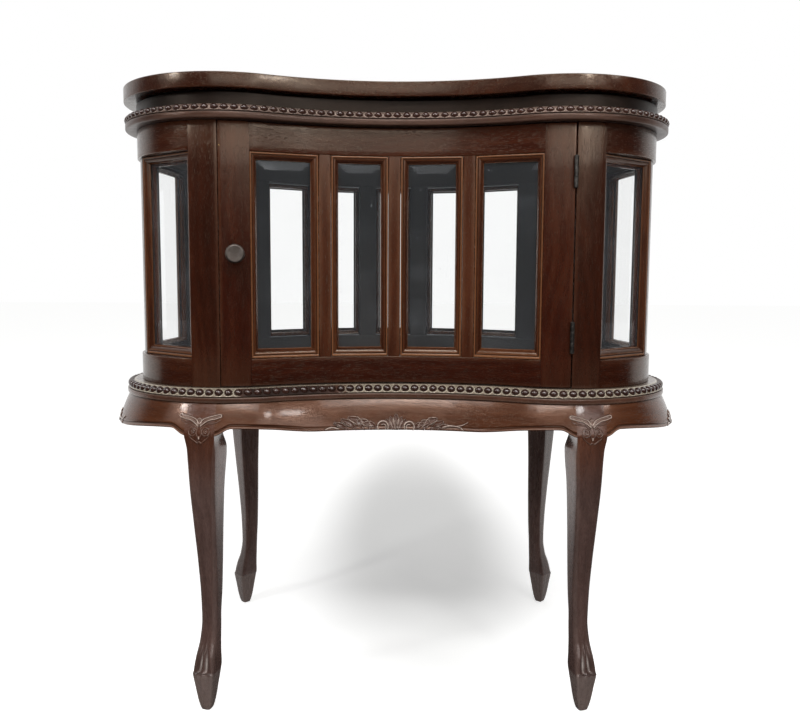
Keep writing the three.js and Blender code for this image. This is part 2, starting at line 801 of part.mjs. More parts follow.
// The apron's face at a height: a slope that steepens downwards, then a tight round under its toe
function apronFace(z) {
  const rise = z - bulgeLevel;
  if (rise > 0) {
    return bulgeReach - apronSlope * rise - apronBend * rise ** 2;
  }
  return toeAxisReach + Math.sqrt(Math.max(apronToeRound ** 2 - (z - toeAxisLevel) ** 2, 0));
}

// Height of the apron's shaped lower edge at a distance from the nearest leg
function apronEdge(distance) {
  const arch = ease((distance - archStart) / (archFull - archStart));
  const fade = 1 - ease((distance - archFull) / (archFade - archFull));
  return apronTop - apronLowDrop + (apronLowDrop - apronHighDrop) * arch * fade;
}

const frontLegPlace = lobeFront + frontLegDrift;
const legsMiddle = halfWall + backLegDrift;
const legs = [
  { name: 'leg_front_right', place: frontLegPlace, turn: frontLegTurn, back: false, side: 1 },
  { name: 'leg_back_right', place: legsMiddle - backLegPlace, turn: backLegTurn, back: true, side: 1 },
  { name: 'leg_back_left', place: legsMiddle + backLegPlace, turn: backLegTurn, back: true, side: -1 },
  { name: 'leg_front_left', place: wholeWall - frontLegPlace, turn: frontLegTurn, back: false, side: -1 },
];

// Half the leg's width, measured along the plain wall line instead of along the apron's face
function legHalfRun(leg) {
  const radius = leg.back ? backRadius : lobeRadius;
  return ((legTopWidth / 2) * radius) / (radius + apronReach);
}

function apronSection(along, edge) {
  const levels = [0, 0.2, 0.4, 0.6, 0.8, 1].map((part) => apronTop - part * (apronTop - edge));
  const at = (reach, z) => {
    const point = wallPoint(along, reach);
    return new THREE.Vector3(point.x, point.y, z);
  };
  return [...levels.map((z) => at(apronFace(z), z)), at(apronInnerFace, edge), at(apronInnerFace, apronTop)];
}

function aprons() {
  const names = ['apron_right', 'apron_back', 'apron_left', 'apron_front'];
  return names.map((name, i) => {
    const before = legs[i];
    const after = legs[(i + 1) % legs.length];
    const afterPlace = after.place + (after.place < before.place ? wholeWall : 0);
    const from = before.place + legHalfRun(before) + gap;
    const to = afterPlace - legHalfRun(after) - gap;
    const rising = (archStart + archFull) / 2;
    const fading = [0, 1 / 4, 1 / 2, 3 / 4, 1].map((part) => archFull + part * (archFade - archFull));
    const shaping = [rising, ...fading];
    const extra = shaping.flatMap((distance) => [before.place + distance, afterPlace - distance]);
    const sections = stations(from, to, extra).map((along) => {
      const distance = Math.min(along - before.place, afterPlace - along);
      return apronSection(along, apronEdge(distance));
    });
    return piece(name, skin(sections), 'darkMahogany');
  });
}

// ---- Legs ------------------------------------------------------------------------------------

// Four corners rounded off, with one more point in the middle of the front edge for the toe.
// Corners run front left, front right, back right, back left.
function roundedSection(corners, radius, point, z) {
  const loop = corners.flatMap((corner, i) => {
    const before = corners[(i + 3) % 4].clone().sub(corner).normalize().multiplyScalar(radius);
    const after = corners[(i + 1) % 4].clone().sub(corner).normalize().multiplyScalar(radius);
    const knee = before.clone().add(after).multiplyScalar(1 - Math.SQRT1_2);
    return [corner.clone().add(before), corner.clone().add(knee), corner.clone().add(after)];
  });
  const front = corners[0].clone().add(corners[1]).multiplyScalar(0.5);
  const back = corners[2].clone().add(corners[3]).multiplyScalar(0.5);
  const tip = front.clone().add(front.clone().sub(back).normalize().multiplyScalar(point));
  loop.splice(3, 0, tip);
  return loop.map((plan) => new THREE.Vector3(plan.x, plan.y, z));
}

// The spade foot: a small sole, a pointed toe and a hollow instep running up to the ankle. Each
// row blends from one size to the next: 0 is the lower one's, 1 the upper one's.
function footSections() {
  const blend = (low, high, part) => low + (high - low) * part;
  const below = (up, grown, pointed) => ({
    z: blend(0, toeHeight, up),
    back: footBack,
    deep: blend(footHalf, toeHalf, grown),
    wide: blend(footHalf, toeHalf, grown),
    round: blend(soleRound, toeRound, grown),
    point: blend(solePoint, toePoint, pointed),
    splay: legSplay,
  });
  const above = (up, setBack, deep, wide, round, pointed) => ({
    z: blend(toeHeight, ankleHeight, up),
    back: blend(footBack, ankleBack, setBack),
    deep: blend(toeHalf, ankleHalf, deep),
    wide: blend(toeHalf, ankleHalf, wide),
    round: blend(toeRound, ankleRound, round),
    point: pointed * toePoint,
    splay: legSplay,
  });
  return [
    below(0, 0, 0),
    below(0.3, 0.38, 0.2),
    below(1, 1, 1),
    above(0.1, 0.2, 0, 0, 0.67, 0.3),
    above(0.31, 0.38, 0.1, 0.4, 1, 0),
    above(0.61, 0.76, 0.74, 0.8, 1, 0),
  ];
}

// The S-shaped shaft between the ankle and the knee
function shaftSections() {
  const kneeLevel = legHeight - kneeDrop;
  return [0, 0.15, 0.35, 0.58, 0.8, 1].map((part) => {
    const half = ankleHalf + (kneeHalf - ankleHalf) * part ** 1.2;
    return {
      z: ankleHeight + (kneeLevel - ankleHeight) * part,
      back: ankleBack + (kneeHalf + kneeSetback - ankleBack) * ease(part),
      deep: half,
      wide: half,
      round: ankleRound + (kneeRound - ankleRound) * part,
      point: 0,
      splay: legSplay * (1 - part),
    };
  });
}

// The block that rises behind the knee's carving, in line with the apron on either side
function legTopLoop(leg, z) {
  const half = legHalfRun(leg);
  const face = apronFace(z);
  const inner = apronReach - legTopDepth;
  const bow = wallPoint(leg.place, face)
    .distanceTo(wallPoint(leg.place - half, face).lerp(wallPoint(leg.place + half, face), 0.5));
  const [near, far] = [leg.place - half, leg.place + half];
  const corners = [
    wallPoint(near, face),
    wallPoint(far, face),
    wallPoint(far, inner),
    wallPoint(near, inner),
  ];
  return roundedSection(corners, legTopRound, bow, z);
}

function cabrioleLeg(leg) {
  const knee = wallPoint(leg.place, apronReach);
  const turn = THREE.MathUtils.degToRad(leg.turn);
  const ahead = new THREE.Vector2(leg.side * Math.sin(turn), (leg.back ? 1 : -1) * Math.cos(turn));
  const beside = new THREE.Vector2(-ahead.y, ahead.x); // the way that places along the wall grow
  const outward = (leg.back ? -1 : 1) * leg.side; // the foot splays away from the middle
  const sections = [...footSections(), ...shaftSections()].map((section) => {
    const centre = knee
      .clone()
      .addScaledVector(ahead, -section.back)
      .addScaledVector(beside, outward * section.splay);
    const corner = (forward, side) => centre
      .clone()
      .addScaledVector(ahead, forward * section.deep)
      .addScaledVector(beside, side * section.wide);
    const corners = [corner(1, -1), corner(1, 1), corner(-1, 1), corner(-1, -1)];
    return roundedSection(corners, section.round, section.point, section.z);
  });
  const underside = apronTop - apronLowDrop;
  const tops = [1 / 8, 3 / 8, 2 / 3, 1].map((part) => bulgeLevel + part * apronBulgeDrop);
  const loops = [...sections, ...[underside, ...tops].map((z) => legTopLoop(leg, z))];
  return piece(leg.name, skin(loops), 'darkMahogany');
}

// ---- Assembly --------------------------------------------------------------------------------

const upperHinge = hinge('upper', upperHingeHeight);
const lowerHinge = hinge('lower', lowerHingeHeight);
const { catchBlock, strike } = catchAndStrike();

const cabinet = new THREE.Group();
cabinet.add(...boards(), ...rails(), ...posts(), ...stiles(), ...fixedGlass());
cabinet.add(...aprons(), ...legs.map(cabrioleLeg), upperHinge.post, lowerHinge.post, catchBlock);

const door = new THREE.Group();
door.add(...doorWood(), ...doorPanes(), knob(), strike, upperHinge.door, lowerHinge.door);

// The origin is on the floor below the middle of the whole plan
const chinaCabinet = new THREE.Group();
chinaCabinet.add(cabinet, door);
chinaCabinet.position.y = (lobeRadius - backReach) / 2;
chinaCabinet.updateMatrixWorld(true);

export default chinaCabinet;
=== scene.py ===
"""Dressed model of a kidney-shaped glazed china cabinet on cabriole legs."""
import math

import bmesh
import bpy
import numpy as np
from mathutils import Matrix, Vector
from mathutils.bvhtree import BVHTree


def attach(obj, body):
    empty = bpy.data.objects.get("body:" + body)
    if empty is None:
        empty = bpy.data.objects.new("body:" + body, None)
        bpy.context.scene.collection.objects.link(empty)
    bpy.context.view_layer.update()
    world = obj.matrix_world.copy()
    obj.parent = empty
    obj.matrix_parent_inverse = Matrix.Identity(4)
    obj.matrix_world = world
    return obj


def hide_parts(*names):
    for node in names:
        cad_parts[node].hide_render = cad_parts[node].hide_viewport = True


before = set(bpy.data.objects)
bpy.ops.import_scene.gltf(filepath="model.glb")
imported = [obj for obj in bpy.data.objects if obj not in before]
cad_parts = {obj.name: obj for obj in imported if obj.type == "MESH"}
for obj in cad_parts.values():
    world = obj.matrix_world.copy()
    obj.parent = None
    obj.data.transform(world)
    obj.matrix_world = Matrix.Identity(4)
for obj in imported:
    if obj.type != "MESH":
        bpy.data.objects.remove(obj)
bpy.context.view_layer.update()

# ---- Sizes in millimetres ----------------------------------------------------------------------
# Sizes that the frame has too agree with it. The others are those of the finer pieces made here.

LOBE_SPACING = 426.6
LOBE_RADIUS = 127.9
BAY_DEPTH = 47.3
BACK_REACH = 311.1

FLOOR_BOARD_LOW = 391.2
FLOOR_TOP = 408.0
CASE_TOP_LOW = 727.5
CASE_TOP_HIGH = 743.5
FRIEZE_LOW = 743.8
SHADOW_LOW = 759.5
TOP_BOARD_LOW = 762.4
TOP_BOARD_HIGH = 780.0
OPENING_LOW = 442.5
OPENING_HIGH = 692.0
DOOR_LOW = 409.2
DOOR_HIGH = 726.3

# The gap between pieces that meet, the seam of a glued joint, and how much the door's left stile
# and the post beside it each widen, to narrow the gap on the shutting side.
GAP = 0.3
SEAM = 0.05
SNUG = 0.4

TOP_BOARD_REACH = 12.6
TOP_BOARD_EASE = 0.9
TOP_BOARD_DRIFT = 2.9
CASE_TOP_REACH = 14.2
FLOOR_BOARD_REACH = 19.2
SHADOW_INSET = 8.0
BEAD_PITCH = 11.6
CASE_TOP_BAND = 8.0
CASE_TOP_LEAN = 4.0
FLOOR_BOARD_BAND = 9.5
FLOOR_BOARD_LEAN = 8.6
BAND_INSET = 0.6
BEAD_SINK = 0.5
QUIRK_HALF = 0.8
QUIRK_DEPTH = 2.2
FILLET_ROUND = 1.6
SOCKET_HALF = 5.8

# Half the width and half the height of a bead, and how far it stands out.
CASE_TOP_BEAD = (4.9, 3.8, 4.0)
FLOOR_BOARD_BEAD = (5.5, 5.1, 4.8)

# Where the painted shade under the door starts and ends, along the wall from the middle of the
# front, and the runs over which it comes and goes.
DOOR_SHADE_START, DOOR_SHADE_END = -203, -110
DOOR_SHADE_EDGE, DOOR_SHADE_SPREAD = 14, 60

# Reaches at which the greyer inside of the case starts, on walls and on boards, and the run over
# which it comes.
WALL_GREY_START = -9.0
BOARD_GREY_START = -14.0
GREY_FADE = 6.0

# How wide the wear along an arris is.
ARRIS_WIDTH = 1.6

CASE_WALL = 24.0
FRONT_POST = 35.7
SIDE_WINDOWS = [101.6, 119.6, 115.7]
SIDE_STILES = [31.3, 28.2]
BACK_WINDOWS = [63.0, 65.7, 78.0]
BACK_STILES = [29.7, 26.7]
BACK_DRIFT = 6.0
STILE_INSET = 3.5

DOOR_WIDTH = 439.6
DOOR_THICKNESS = 20.0
DOOR_GAP = 1.6
DOOR_STILE = 36.8
MUNTIN = 15.2
OUTER_MUNTIN_PLACE = 89.8
MIDDLE_MUNTIN_DRIFT = 3.1
MUNTIN_INSET = 0.6

PANE_FRAME = 9.0
PANE_FRAME_FOOT = 11.5
PANE_FRAME_DEPTH = 10.0
PANE_FRAME_INSET = 0.8
GLASS_SEAT = 6.2
GLASS_THICKNESS = 3.4
GLASS_REBATE = 3.0
PUTTY_GAP = 0.2
STRIP_DEPTH = 5.8

APRON_TOP = 390.9
APRON_GROUND = 30.6
APRON_TOP_REACH = 16.5
APRON_BULGE_DROP = 34.2
APRON_SLOPE = 0.3
APRON_TOE_ROUND = 8.0
APRON_INNER = 4.0
APRON_LOW_DROP = 37.8
APRON_HIGH_DROP = 29.4
ARCH_START, ARCH_FULL, ARCH_FADE = 14.0, 31.0, 135.0
LIP_FADE_START, LIP_FADE_RUN = 60, 70

FRONT_LEG_PLACE = 237.6
BACK_LEG_PLACE = 261.4
BACK_LEG_DRIFT = 4.1
FRONT_LEG_TURN = 14.0
BACK_LEG_TURN = 42.0
KNEE_DROP = 56.2
KNEE_LEVEL = FLOOR_BOARD_LOW - KNEE_DROP
KNEE_HALF = 18.5
KNEE_SETBACK = 3.5
KNEE_ROUND = 3.0
ANKLE_LEVEL = 112.0
ANKLE_HALF = 10.3
ANKLE_ROUND = 5.6
ANKLE_BACK = 42.6
LEG_SPLAY = 8.1
FOOT_HEIGHT = 50.6
INSTEP_LEVEL = 62.0
LEG_TOP_WIDTH = 38.0
LEG_TOP_DEPTH = 46.0
APRON_REACH = 32.0
KNEE_CARVING_LEVEL = 364.4
KNEE_CARVING_LIMIT = 32.6
KNEE_CARVING_DEPTH = 1.9
FRONT_SPRAY_LIMIT = 40.0
FRONT_SPRAY_DEPTH = 2.6
SIDE_SPRAY_LIMIT = 31.8
SIDE_SPRAY_DEPTH = 1.5

HINGE_LENGTH = 38.0
UPPER_HINGE = 668.7
LOWER_HINGE = 470.8
KNOB_PLACE = 200.6
KNOB_HEIGHT = 569.5
CATCH_PLACE = 200.0
HINGE_SET = 1.1
HINGE_LEAF_WIDTH = 16.0
LEAF_GAP = 0.3
LEAF_THICKNESS = 1.2
KNUCKLE_RADIUS = 2.7
KNUCKLE_GAP = 0.3
PIN_PROUD = 3.5
STRIKE_SET = 0.8
STRIKE_THICKNESS = 1.0
CATCH_HEIGHT = 14.0
SHANK_LENGTH = 15.0
EDGE_PIN_INSET = 1.5
EDGE_PIN_HEIGHT = 697.5

# Screws of a hinge leaf: how far in from its front and how far up from its middle.
LEAF_SCREWS = ((10.5, -12.5), (6.5, 0.0), (10.5, 12.5))

# ---- The wall line -----------------------------------------------------------------------------

LOBE_X = LOBE_SPACING / 2
BAY_CENTRE = (LOBE_X ** 2 - BAY_DEPTH ** 2) / (2 * BAY_DEPTH)
BAY_RADIUS = BAY_CENTRE + BAY_DEPTH - LOBE_RADIUS
BACK_RISE = BACK_REACH - LOBE_RADIUS
BACK_CENTRE = (BACK_RISE ** 2 - LOBE_X ** 2) / (2 * BACK_RISE)
BACK_RADIUS = BACK_REACH - BACK_CENTRE
BAY_ANGLE = math.atan2(LOBE_X, BAY_CENTRE)
BACK_ANGLE = math.atan2(LOBE_X, -BACK_CENTRE)
BAY_END = BAY_RADIUS * BAY_ANGLE
LOBE_END = BAY_END + LOBE_RADIUS * (BAY_ANGLE + math.pi - BACK_ANGLE)
HALF_WALL = LOBE_END + BACK_RADIUS * BACK_ANGLE
WHOLE_WALL = 2 * HALF_WALL
LOBE_SIDE = BAY_END + LOBE_RADIUS * (BAY_ANGLE + math.pi / 2)
SHIFT_Y = (LOBE_RADIUS - BACK_REACH) / 2


def smooth(part):
    """Eases a part between 0 and 1 in and out."""
    part = np.clip(part, 0, 1)
    return part * part * (3 - 2 * part)


def bump_at(value, middle, width):
    """A rounded bump: 1 at its middle and falling away to both sides."""
    return np.exp(-((value - middle) / width) ** 2)


def wall_line(along):
    """Points of the plain wall line and its outward directions at places along it."""
    wrapped = np.mod(np.asarray(along, float), WHOLE_WALL)
    mirrored = wrapped > HALF_WALL
    place = np.where(mirrored, WHOLE_WALL - wrapped, wrapped)
    bay = place / BAY_RADIUS
    lobe = (place - BAY_END) / LOBE_RADIUS - BAY_ANGLE
    back = BACK_ANGLE - (place - LOBE_END) / BACK_RADIUS
    where = [place <= BAY_END, place <= LOBE_END]
    out_x = np.select(where, [-np.sin(bay), np.sin(lobe)], np.sin(back))
    out_y = np.select(where, [-np.cos(bay), -np.cos(lobe)], np.cos(back))
    x = np.select(where, [BAY_RADIUS * np.sin(bay), LOBE_X + LOBE_RADIUS * out_x], BACK_RADIUS * out_x)
    y = np.select(
        where,
        [BAY_RADIUS * np.cos(bay) - BAY_CENTRE, LOBE_RADIUS * out_y],
        BACK_CENTRE + BACK_RADIUS * out_y,
    )
    side = np.where(mirrored, -1.0, 1.0)
    return x * side, y + SHIFT_Y, out_x * side, out_y


def on_wall(along, reach, height):
    """Places in wall space, along the wall, out from it and up, turned into points."""
    x, y, out_x, out_y = wall_line(along)
    along, reach, height = np.broadcast_arrays(along, reach, height)
    return np.stack([x + reach * out_x, y + reach * out_y, height], axis=-1)


def bent(places):
    """Points of a flat block whose columns are along, reach and height."""
    return on_wall(places[:, 0], places[:, 1], places[:, 2])


# ---- Solids ------------------------------------------------------------------------------------

GRAIN_ALONG, GRAIN_UP = (0, 2, 1), (2, 0, 1)
WALL_STEP = 4.0
BOARD_STEP = 4.0
BAND_STEP = 1.0


class Solid:
    """Vertices, faces, each vertex's place in the wood it is cut from, its wear and painted shading
    (paler above 0, darker below), and how far it belongs to the greyer inside of the case."""

    def __init__(self, points, faces, grain=None, wear=None, lining=None):
        self.points = np.asarray(points, float)
        self.faces = faces
        self.grain = self.points if grain is None else np.asarray(grain, float)
        self.wear = np.zeros(len(self.points)) if wear is None else np.asarray(wear, float)
        self.lining = np.zeros(len(self.points)) if lining is None else np.asarray(lining, float)


def block(low, high, ease, steps=(1, 1, 1)):
    """A block with eased arrises, cut into steps along each side. The ease may be one size, or
    one for the low and the high side of each axis."""
    low, high = np.array(low, float), np.array(high, float)
    ease = np.broadcast_to(np.array(ease, float), (2, 3))
    lines = []
    for start, end, count, first, last in zip(low, high, steps, ease[0], ease[1]):
        inner = np.linspace(start + first, end - last, count + 1)
        lines.append(np.concatenate([[start, start + 0.55 * first], inner, [end - 0.55 * last, end]]))
    known = {}
    points = []
    faces = []

    def corner(place):
        if place not in known:
            known[place] = len(points)
            points.append([line[i] for line, i in zip(lines, place)])
        return known[place]

    for axis in range(3):
        u, v = (axis + 1) % 3, (axis + 2) % 3
        for side in (0, len(lines[axis]) - 1):
            for a in range(len(lines[u]) - 1):
                for b in range(len(lines[v]) - 1):
                    face = []
                    for step_u, step_v in ((0, 0), (1, 0), (1, 1), (0, 1)):
                        place = [0, 0, 0]
                        place[axis], place[u], place[v] = side, a + step_u, b + step_v
                        face.append(corner(tuple(place)))
                    faces.append(face)
    points = np.array(points)
    core = np.clip(points, low + ease[0], high - ease[1])
    away = points - core
    reach = np.where(away < 0, ease[0], ease[1])
    away = away / reach
    points = core + reach * away / np.linalg.norm(away, axis=1, keepdims=True)
    return points, faces


def arris_wear(points, low, high):
    """How worn each point of a block is: most along its arrises."""
    depth = np.sort(np.minimum(points - np.array(low), np.array(high) - points), axis=1)
    return np.clip(1 - depth[:, 1] / ARRIS_WIDTH, 0, 1) * 0.45


def inside_share(reach, start):
    """How far wood belongs to the greyer inside, which starts at a place on the reach."""
    return np.clip((start - reach) / GREY_FADE, 0, 1)


def wall_block(run, reaches, levels, grain, ease, joints):
    """A member of the wall between two places, two reaches and two levels, bent to the wall. Its
    joints name the ends that are glued tight to a neighbour: s start, e end, b bottom, t top."""
    gap = {side: SEAM if side in joints else GAP for side in "sebt"}
    eased = {side: SEAM if side in joints else ease for side in "sebt"}
    low = (run[0] + gap["s"] / 2, min(reaches), levels[0] - (GAP - gap["b"]) * ("b" in joints))
    high = (run[1] - gap["e"] / 2, max(reaches), levels[1] + (GAP - gap["t"]) * ("t" in joints))
    count = max(int((high[0] - low[0]) / WALL_STEP), 2)
    sides = ((eased["s"], ease, eased["b"]), (eased["e"], ease, eased["t"]))
    places, faces = block(low, high, sides, (count, 1, 6))
    wear = arris_wear(places, low, high)
    for axis, (first, last) in ((0, "se"), (2, "bt")):
        for side, end in ((first, low), (last, high)):
            if side in joints:
                wear *= np.clip(abs(places[:, axis] - end[axis]) / ARRIS_WIDTH, 0, 1) ** 2
    lining = inside_share(places[:, 1], WALL_GREY_START)
    return Solid(bent(places), faces, places[:, grain], wear, lining)


def skin(loops):
    """Faces that join loops of equal size, given as an array of loop, point and coordinate, and
    close both ends."""
    count, size = loops.shape[:2]
    faces = []
    for here in range(0, (count - 1) * size, size):
        there = here + size
        for j in range(size):
            k = (j + 1) % size
            faces.append([here + j, here + k, there + k, there + j])
    faces.append(list(range(size))[::-1])
    faces.append([(count - 1) * size + j for j in range(size)])
    return loops.reshape(-1, 3), faces


def mark(mesh, name, values):
    """Keeps a number or a place for every point of a mesh, for its finish to read."""
    kind, key = ("FLOAT_VECTOR", "vector") if np.ndim(values) == 2 else ("FLOAT", "value")
    mesh.attributes.new(name, kind, "POINT").data.foreach_set(key, np.ravel(values))


def placed_object(name, data):
    """A new object in the scene, made of the data given."""
    made = bpy.data.objects.new(name, data)
    bpy.context.scene.collection.objects.link(made)
    return made


def piece(name, solids, finish, body, stands_for=(), sharp=38):
    """One object from its solids, riding on a body, with its wood grain, wear and painted shading kept."""
    points, faces, grain, wear, lining = [], [], [], [], []
    start = 0
    for i, solid in enumerate(solids):
        points.append(solid.points)
        shift = np.array([31.0 * (i % 7), 173.0 * i, 57.0 * (i % 5)])
        grain.append(solid.grain + shift)
        wear.append(solid.wear)
        lining.append(solid.lining)
        faces.extend([[start + corner for corner in face] for face in solid.faces])
        start += len(solid.points)
    mesh = bpy.data.meshes.new(name)
    mesh.from_pydata((np.concatenate(points) / 1000).tolist(), [], faces)
    turned = bmesh.new()
    turned.from_mesh(mesh)
    bmesh.ops.recalc_face_normals(turned, faces=turned.faces)
    turned.to_mesh(mesh)
    turned.free()
    seed = sum(ord(letter) * (i + 3) for i, letter in enumerate(name)) % 97
    places = np.concatenate(grain) / 1000 + np.array([0.37, 0.211, 0.083]) * seed
    mark(mesh, "grain", places)
    mark(mesh, "wear", np.concatenate(wear))
    mark(mesh, "lining", np.concatenate(lining))
    mesh.shade_smooth()
    mesh.set_sharp_from_angle(angle=math.radians(sharp))
    mesh.materials.append(finish)
    made = placed_object(name, mesh)
    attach(made, body)
    if stands_for:
        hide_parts(*stands_for)
    return made


# ---- Finishes ----------------------------------------------------------------------------------


class Value:
    """A socket that can stand in a sum."""

    def __init__(self, finish, socket):
        self.finish = finish
        self.socket = socket

    def _sum(self, operation, first, second=0.0):
        return self.finish.value("ShaderNodeMath", {"operation": operation}, {0: first, 1: second})

    def __add__(self, other):
        return self._sum("ADD", self, other)

    def __radd__(self, other):
        return self._sum("ADD", other, self)

    def __sub__(self, other):
        return self._sum("SUBTRACT", self, other)

    def __rsub__(self, other):
        return self._sum("SUBTRACT", other, self)

    def __mul__(self, other):
        return self._sum("MULTIPLY", self, other)

    def __rmul__(self, other):
        return self._sum("MULTIPLY", other, self)

    def __truediv__(self, other):
        return self._sum("DIVIDE", self, other)

    def __pow__(self, other):
        return self._sum("POWER", self, other)

    def sine(self):
        return self._sum("SINE", self)

    def most(self, other):
        return self._sum("MAXIMUM", self, other)

    def least(self, other):
        return self._sum("MINIMUM", self, other)

    def above(self, low, high):
        """0 below the low value, 1 above the high one, smooth between them."""
        settings = {"interpolation_type": "SMOOTHSTEP"}
        return self.finish.value("ShaderNodeMapRange", settings, {0: self, 1: low, 2: high})


class Finish:
    """A material and the nodes that make it."""

    def __init__(self, name, tree=None):
        self.material = None
        if tree is None:
            self.material = bpy.data.materials.new(name)
            self.material.use_nodes = True
            tree = self.material.node_tree
        self.tree = tree
        self.tree.nodes.clear()

    def add(self, kind, settings=None, sockets=None):
        node = self.tree.nodes.new(kind)
        for key, setting in (settings or {}).items():
            if key == "stops":
                self._set_stops(node.color_ramp, setting)
            else:
                setattr(node, key, setting)
        for key, given in (sockets or {}).items():
            if isinstance(given, Value):
                given = given.socket
            if isinstance(given, bpy.types.NodeSocket):
                self.tree.links.new(given, node.inputs[key])
            else:
                node.inputs[key].default_value = given
        return node

    @staticmethod
    def _set_stops(ramp, stops):
        while len(ramp.elements) < len(stops):
            ramp.elements.new(1.0)
        for element, (place, colour) in zip(ramp.elements, stops):
            element.position = place
            element.color = (*colour, 1.0)

    def value(self, kind, settings=None, sockets=None, output=0):
        return Value(self, self.add(kind, settings, sockets).outputs[output])

    def noise(self, place, scale, detail, roughness):
        sockets = {"Vector": place, "Scale": scale, "Detail": detail, "Roughness": roughness}
        return self.value("ShaderNodeTexNoise", {}, sockets)

    def stretched(self, place, factors):
        return self.value("ShaderNodeVectorMath", {"operation": "MULTIPLY"}, {0: place, 1: factors})

    def grained(self, place, along, across, detail, roughness=0.5):
        """Noise drawn out along the grain, with its counts per metre along and across it."""
        return self.noise(self.stretched(place, (along, across, across)), 1.0, detail, roughness)

    def blend(self, amount, first, second):
        sockets = {0: amount, 6: first, 7: second}
        return self.value("ShaderNodeMix", {"data_type": "RGBA"}, sockets, 2)

    def ramp(self, tone, colours):
        stops = list(zip(WOOD_STOPS, colours))
        return self.value("ShaderNodeValToRGB", {"stops": stops}, {0: tone})

    def kept(self, name, output):
        """What a mesh keeps for each point: output 1 is a place, output 2 a number."""
        return self.value("ShaderNodeAttribute", {"attribute_name": name}, {}, output)

    def own_place(self):
        return self.value("ShaderNodeTexCoord", {}, {}, 3)

    def along_axis(self, place, axis):
        return self.value("ShaderNodeSeparateXYZ", {}, {0: place}, axis)

    def ray(self, kind):
        """1 for rays of one kind: 0 the camera's, 3 mirrored, 6 through glass."""
        return self.value("ShaderNodeLightPath", {}, {}, kind)

    def surface(self, shader):
        self.add("ShaderNodeOutputMaterial", {}, {"Surface": shader})
        return self.material


WOOD_STOPS = (0.24, 0.5, 0.74)
# The dark that wood turns to where its wear is below 0: real dirt, and painted shade.
GRIME_AND_SHADE = (0.004, 0.002, 0.0014, 1.0)
# The greys that the inside of the case is drawn in.
INSIDE_GREY_DARK = (0.033, 0.033, 0.036, 1.0)
INSIDE_GREY_PALE = (0.056, 0.056, 0.061, 1.0)
# Heights in metres below which the legs take their faded colours, greyed further as a painted sheen of the
# floor, and up to which these fade out.
FADED_SHEEN_BELOW, FADED_SHEEN_UP_TO = 0.27, 0.355


def mahogany(name, dark, middle, light, worn, gloss=0.2, coat=0.07, sheen=(1.0, 0.80, 0.60),
             faded_with_floor_sheen=()):
    """Old polished mahogany: pores along the grain, growth lines, worn places, dirt, the greyer inside
    of the case and, below the knees, the faded colours of the legs. Some worn places are painted
    highlights, some dark ones painted shade, and the legs' faded colours a painted floor sheen too."""
    finish = Finish(name)
    place = finish.kept("grain", 1)
    wear, lining = finish.kept("wear", 2), finish.kept("lining", 2)
    figure = finish.grained(place, 2.0, 13.0, 3.0, 0.55)
    sway = finish.grained(place, 5.0, 12.0, 2.0)
    across, depth = finish.along_axis(place, 1), finish.along_axis(place, 2)
    lines = (across * 430.0 + depth * 180.0 + sway * 34.0).sine() * 0.5 + 0.5
    pores = finish.grained(place, 120.0, 1500.0, 2.0, 0.6).above(0.54, 0.68)
    flecks = finish.grained(place, 300.0, 900.0, 3.0, 0.7)
    curl = finish.grained(place, 55.0, 260.0, 4.0, 0.6)
    cloud = finish.noise(place, 11.0, 3.0, 0.55)
    tone = figure * 0.52 + lines * 0.07 + flecks * 0.14 + cloud * 0.3 + curl * 0.12 - 0.075
    wood = finish.ramp(tone, (dark, middle, light))
    # Below the knees, colours that are faded and greyer, the grey a painted sheen of the white floor.
    if faded_with_floor_sheen:
        below = 1.0 - finish.along_axis(finish.own_place(), 2).above(FADED_SHEEN_BELOW, FADED_SHEEN_UP_TO)
        wood = finish.blend(below, wood, finish.ramp(tone, faded_with_floor_sheen))
    wood = finish.blend(pores * 0.6, wood, (dark[0] * 0.4, dark[1] * 0.4, dark[2] * 0.4, 1.0))
    scuffs = finish.noise(place, 330.0, 4.0, 0.65)
    # Wear above 0 turns the wood towards its worn colour: real wear, and at a few places a painted
    # highlight.
    rubbed_and_shading = (wear.most(0.0) * (0.5 + scuffs)).least(1.0)
    wood = finish.blend(rubbed_and_shading, wood, (*worn, 1.0))
    # Wear below 0 turns the wood towards grime: real dirt, and painted shade in grooves, recesses and
    # under the door.
    grime_and_shade = (0.0 - wear).most(0.0).least(1.0)
    wood = finish.blend(grime_and_shade * 0.92, wood, GRIME_AND_SHADE)
    inside = (lining * (0.85 + cloud * 0.3)).least(1.0)
    wood = finish.blend(inside, wood, finish.blend(flecks, INSIDE_GREY_DARK, INSIDE_GREY_PALE))
    smear = finish.grained(place, 16.0, 44.0, 3.0, 0.6)
    polish = gloss + (smear - 0.5) * 0.12 + (curl - 0.5) * 0.2
    grooves = curl * 1.2 + lines * 0.12 - pores * 0.6 + flecks * 0.4
    bump = finish.add(
        "ShaderNodeBump", {}, {"Strength": 0.4, "Distance": 0.00025, "Height": grooves})
    shader = finish.add(
        "ShaderNodeBsdfPrincipled",
        {},
        {
            "Base Color": wood,
            "Roughness": polish + pores * 0.1 + grime_and_shade * 0.4 + inside * 0.35,
            "Normal": bump.outputs[0],
            "Coat Weight": (1.0 - grime_and_shade) * (1.0 - inside) * coat,
            "Coat Roughness": 0.09,
            "IOR": 1.52,
            "Specular Tint": (*sheen, 1.0),
        },
    )
    return finish.surface(shader.outputs[0])


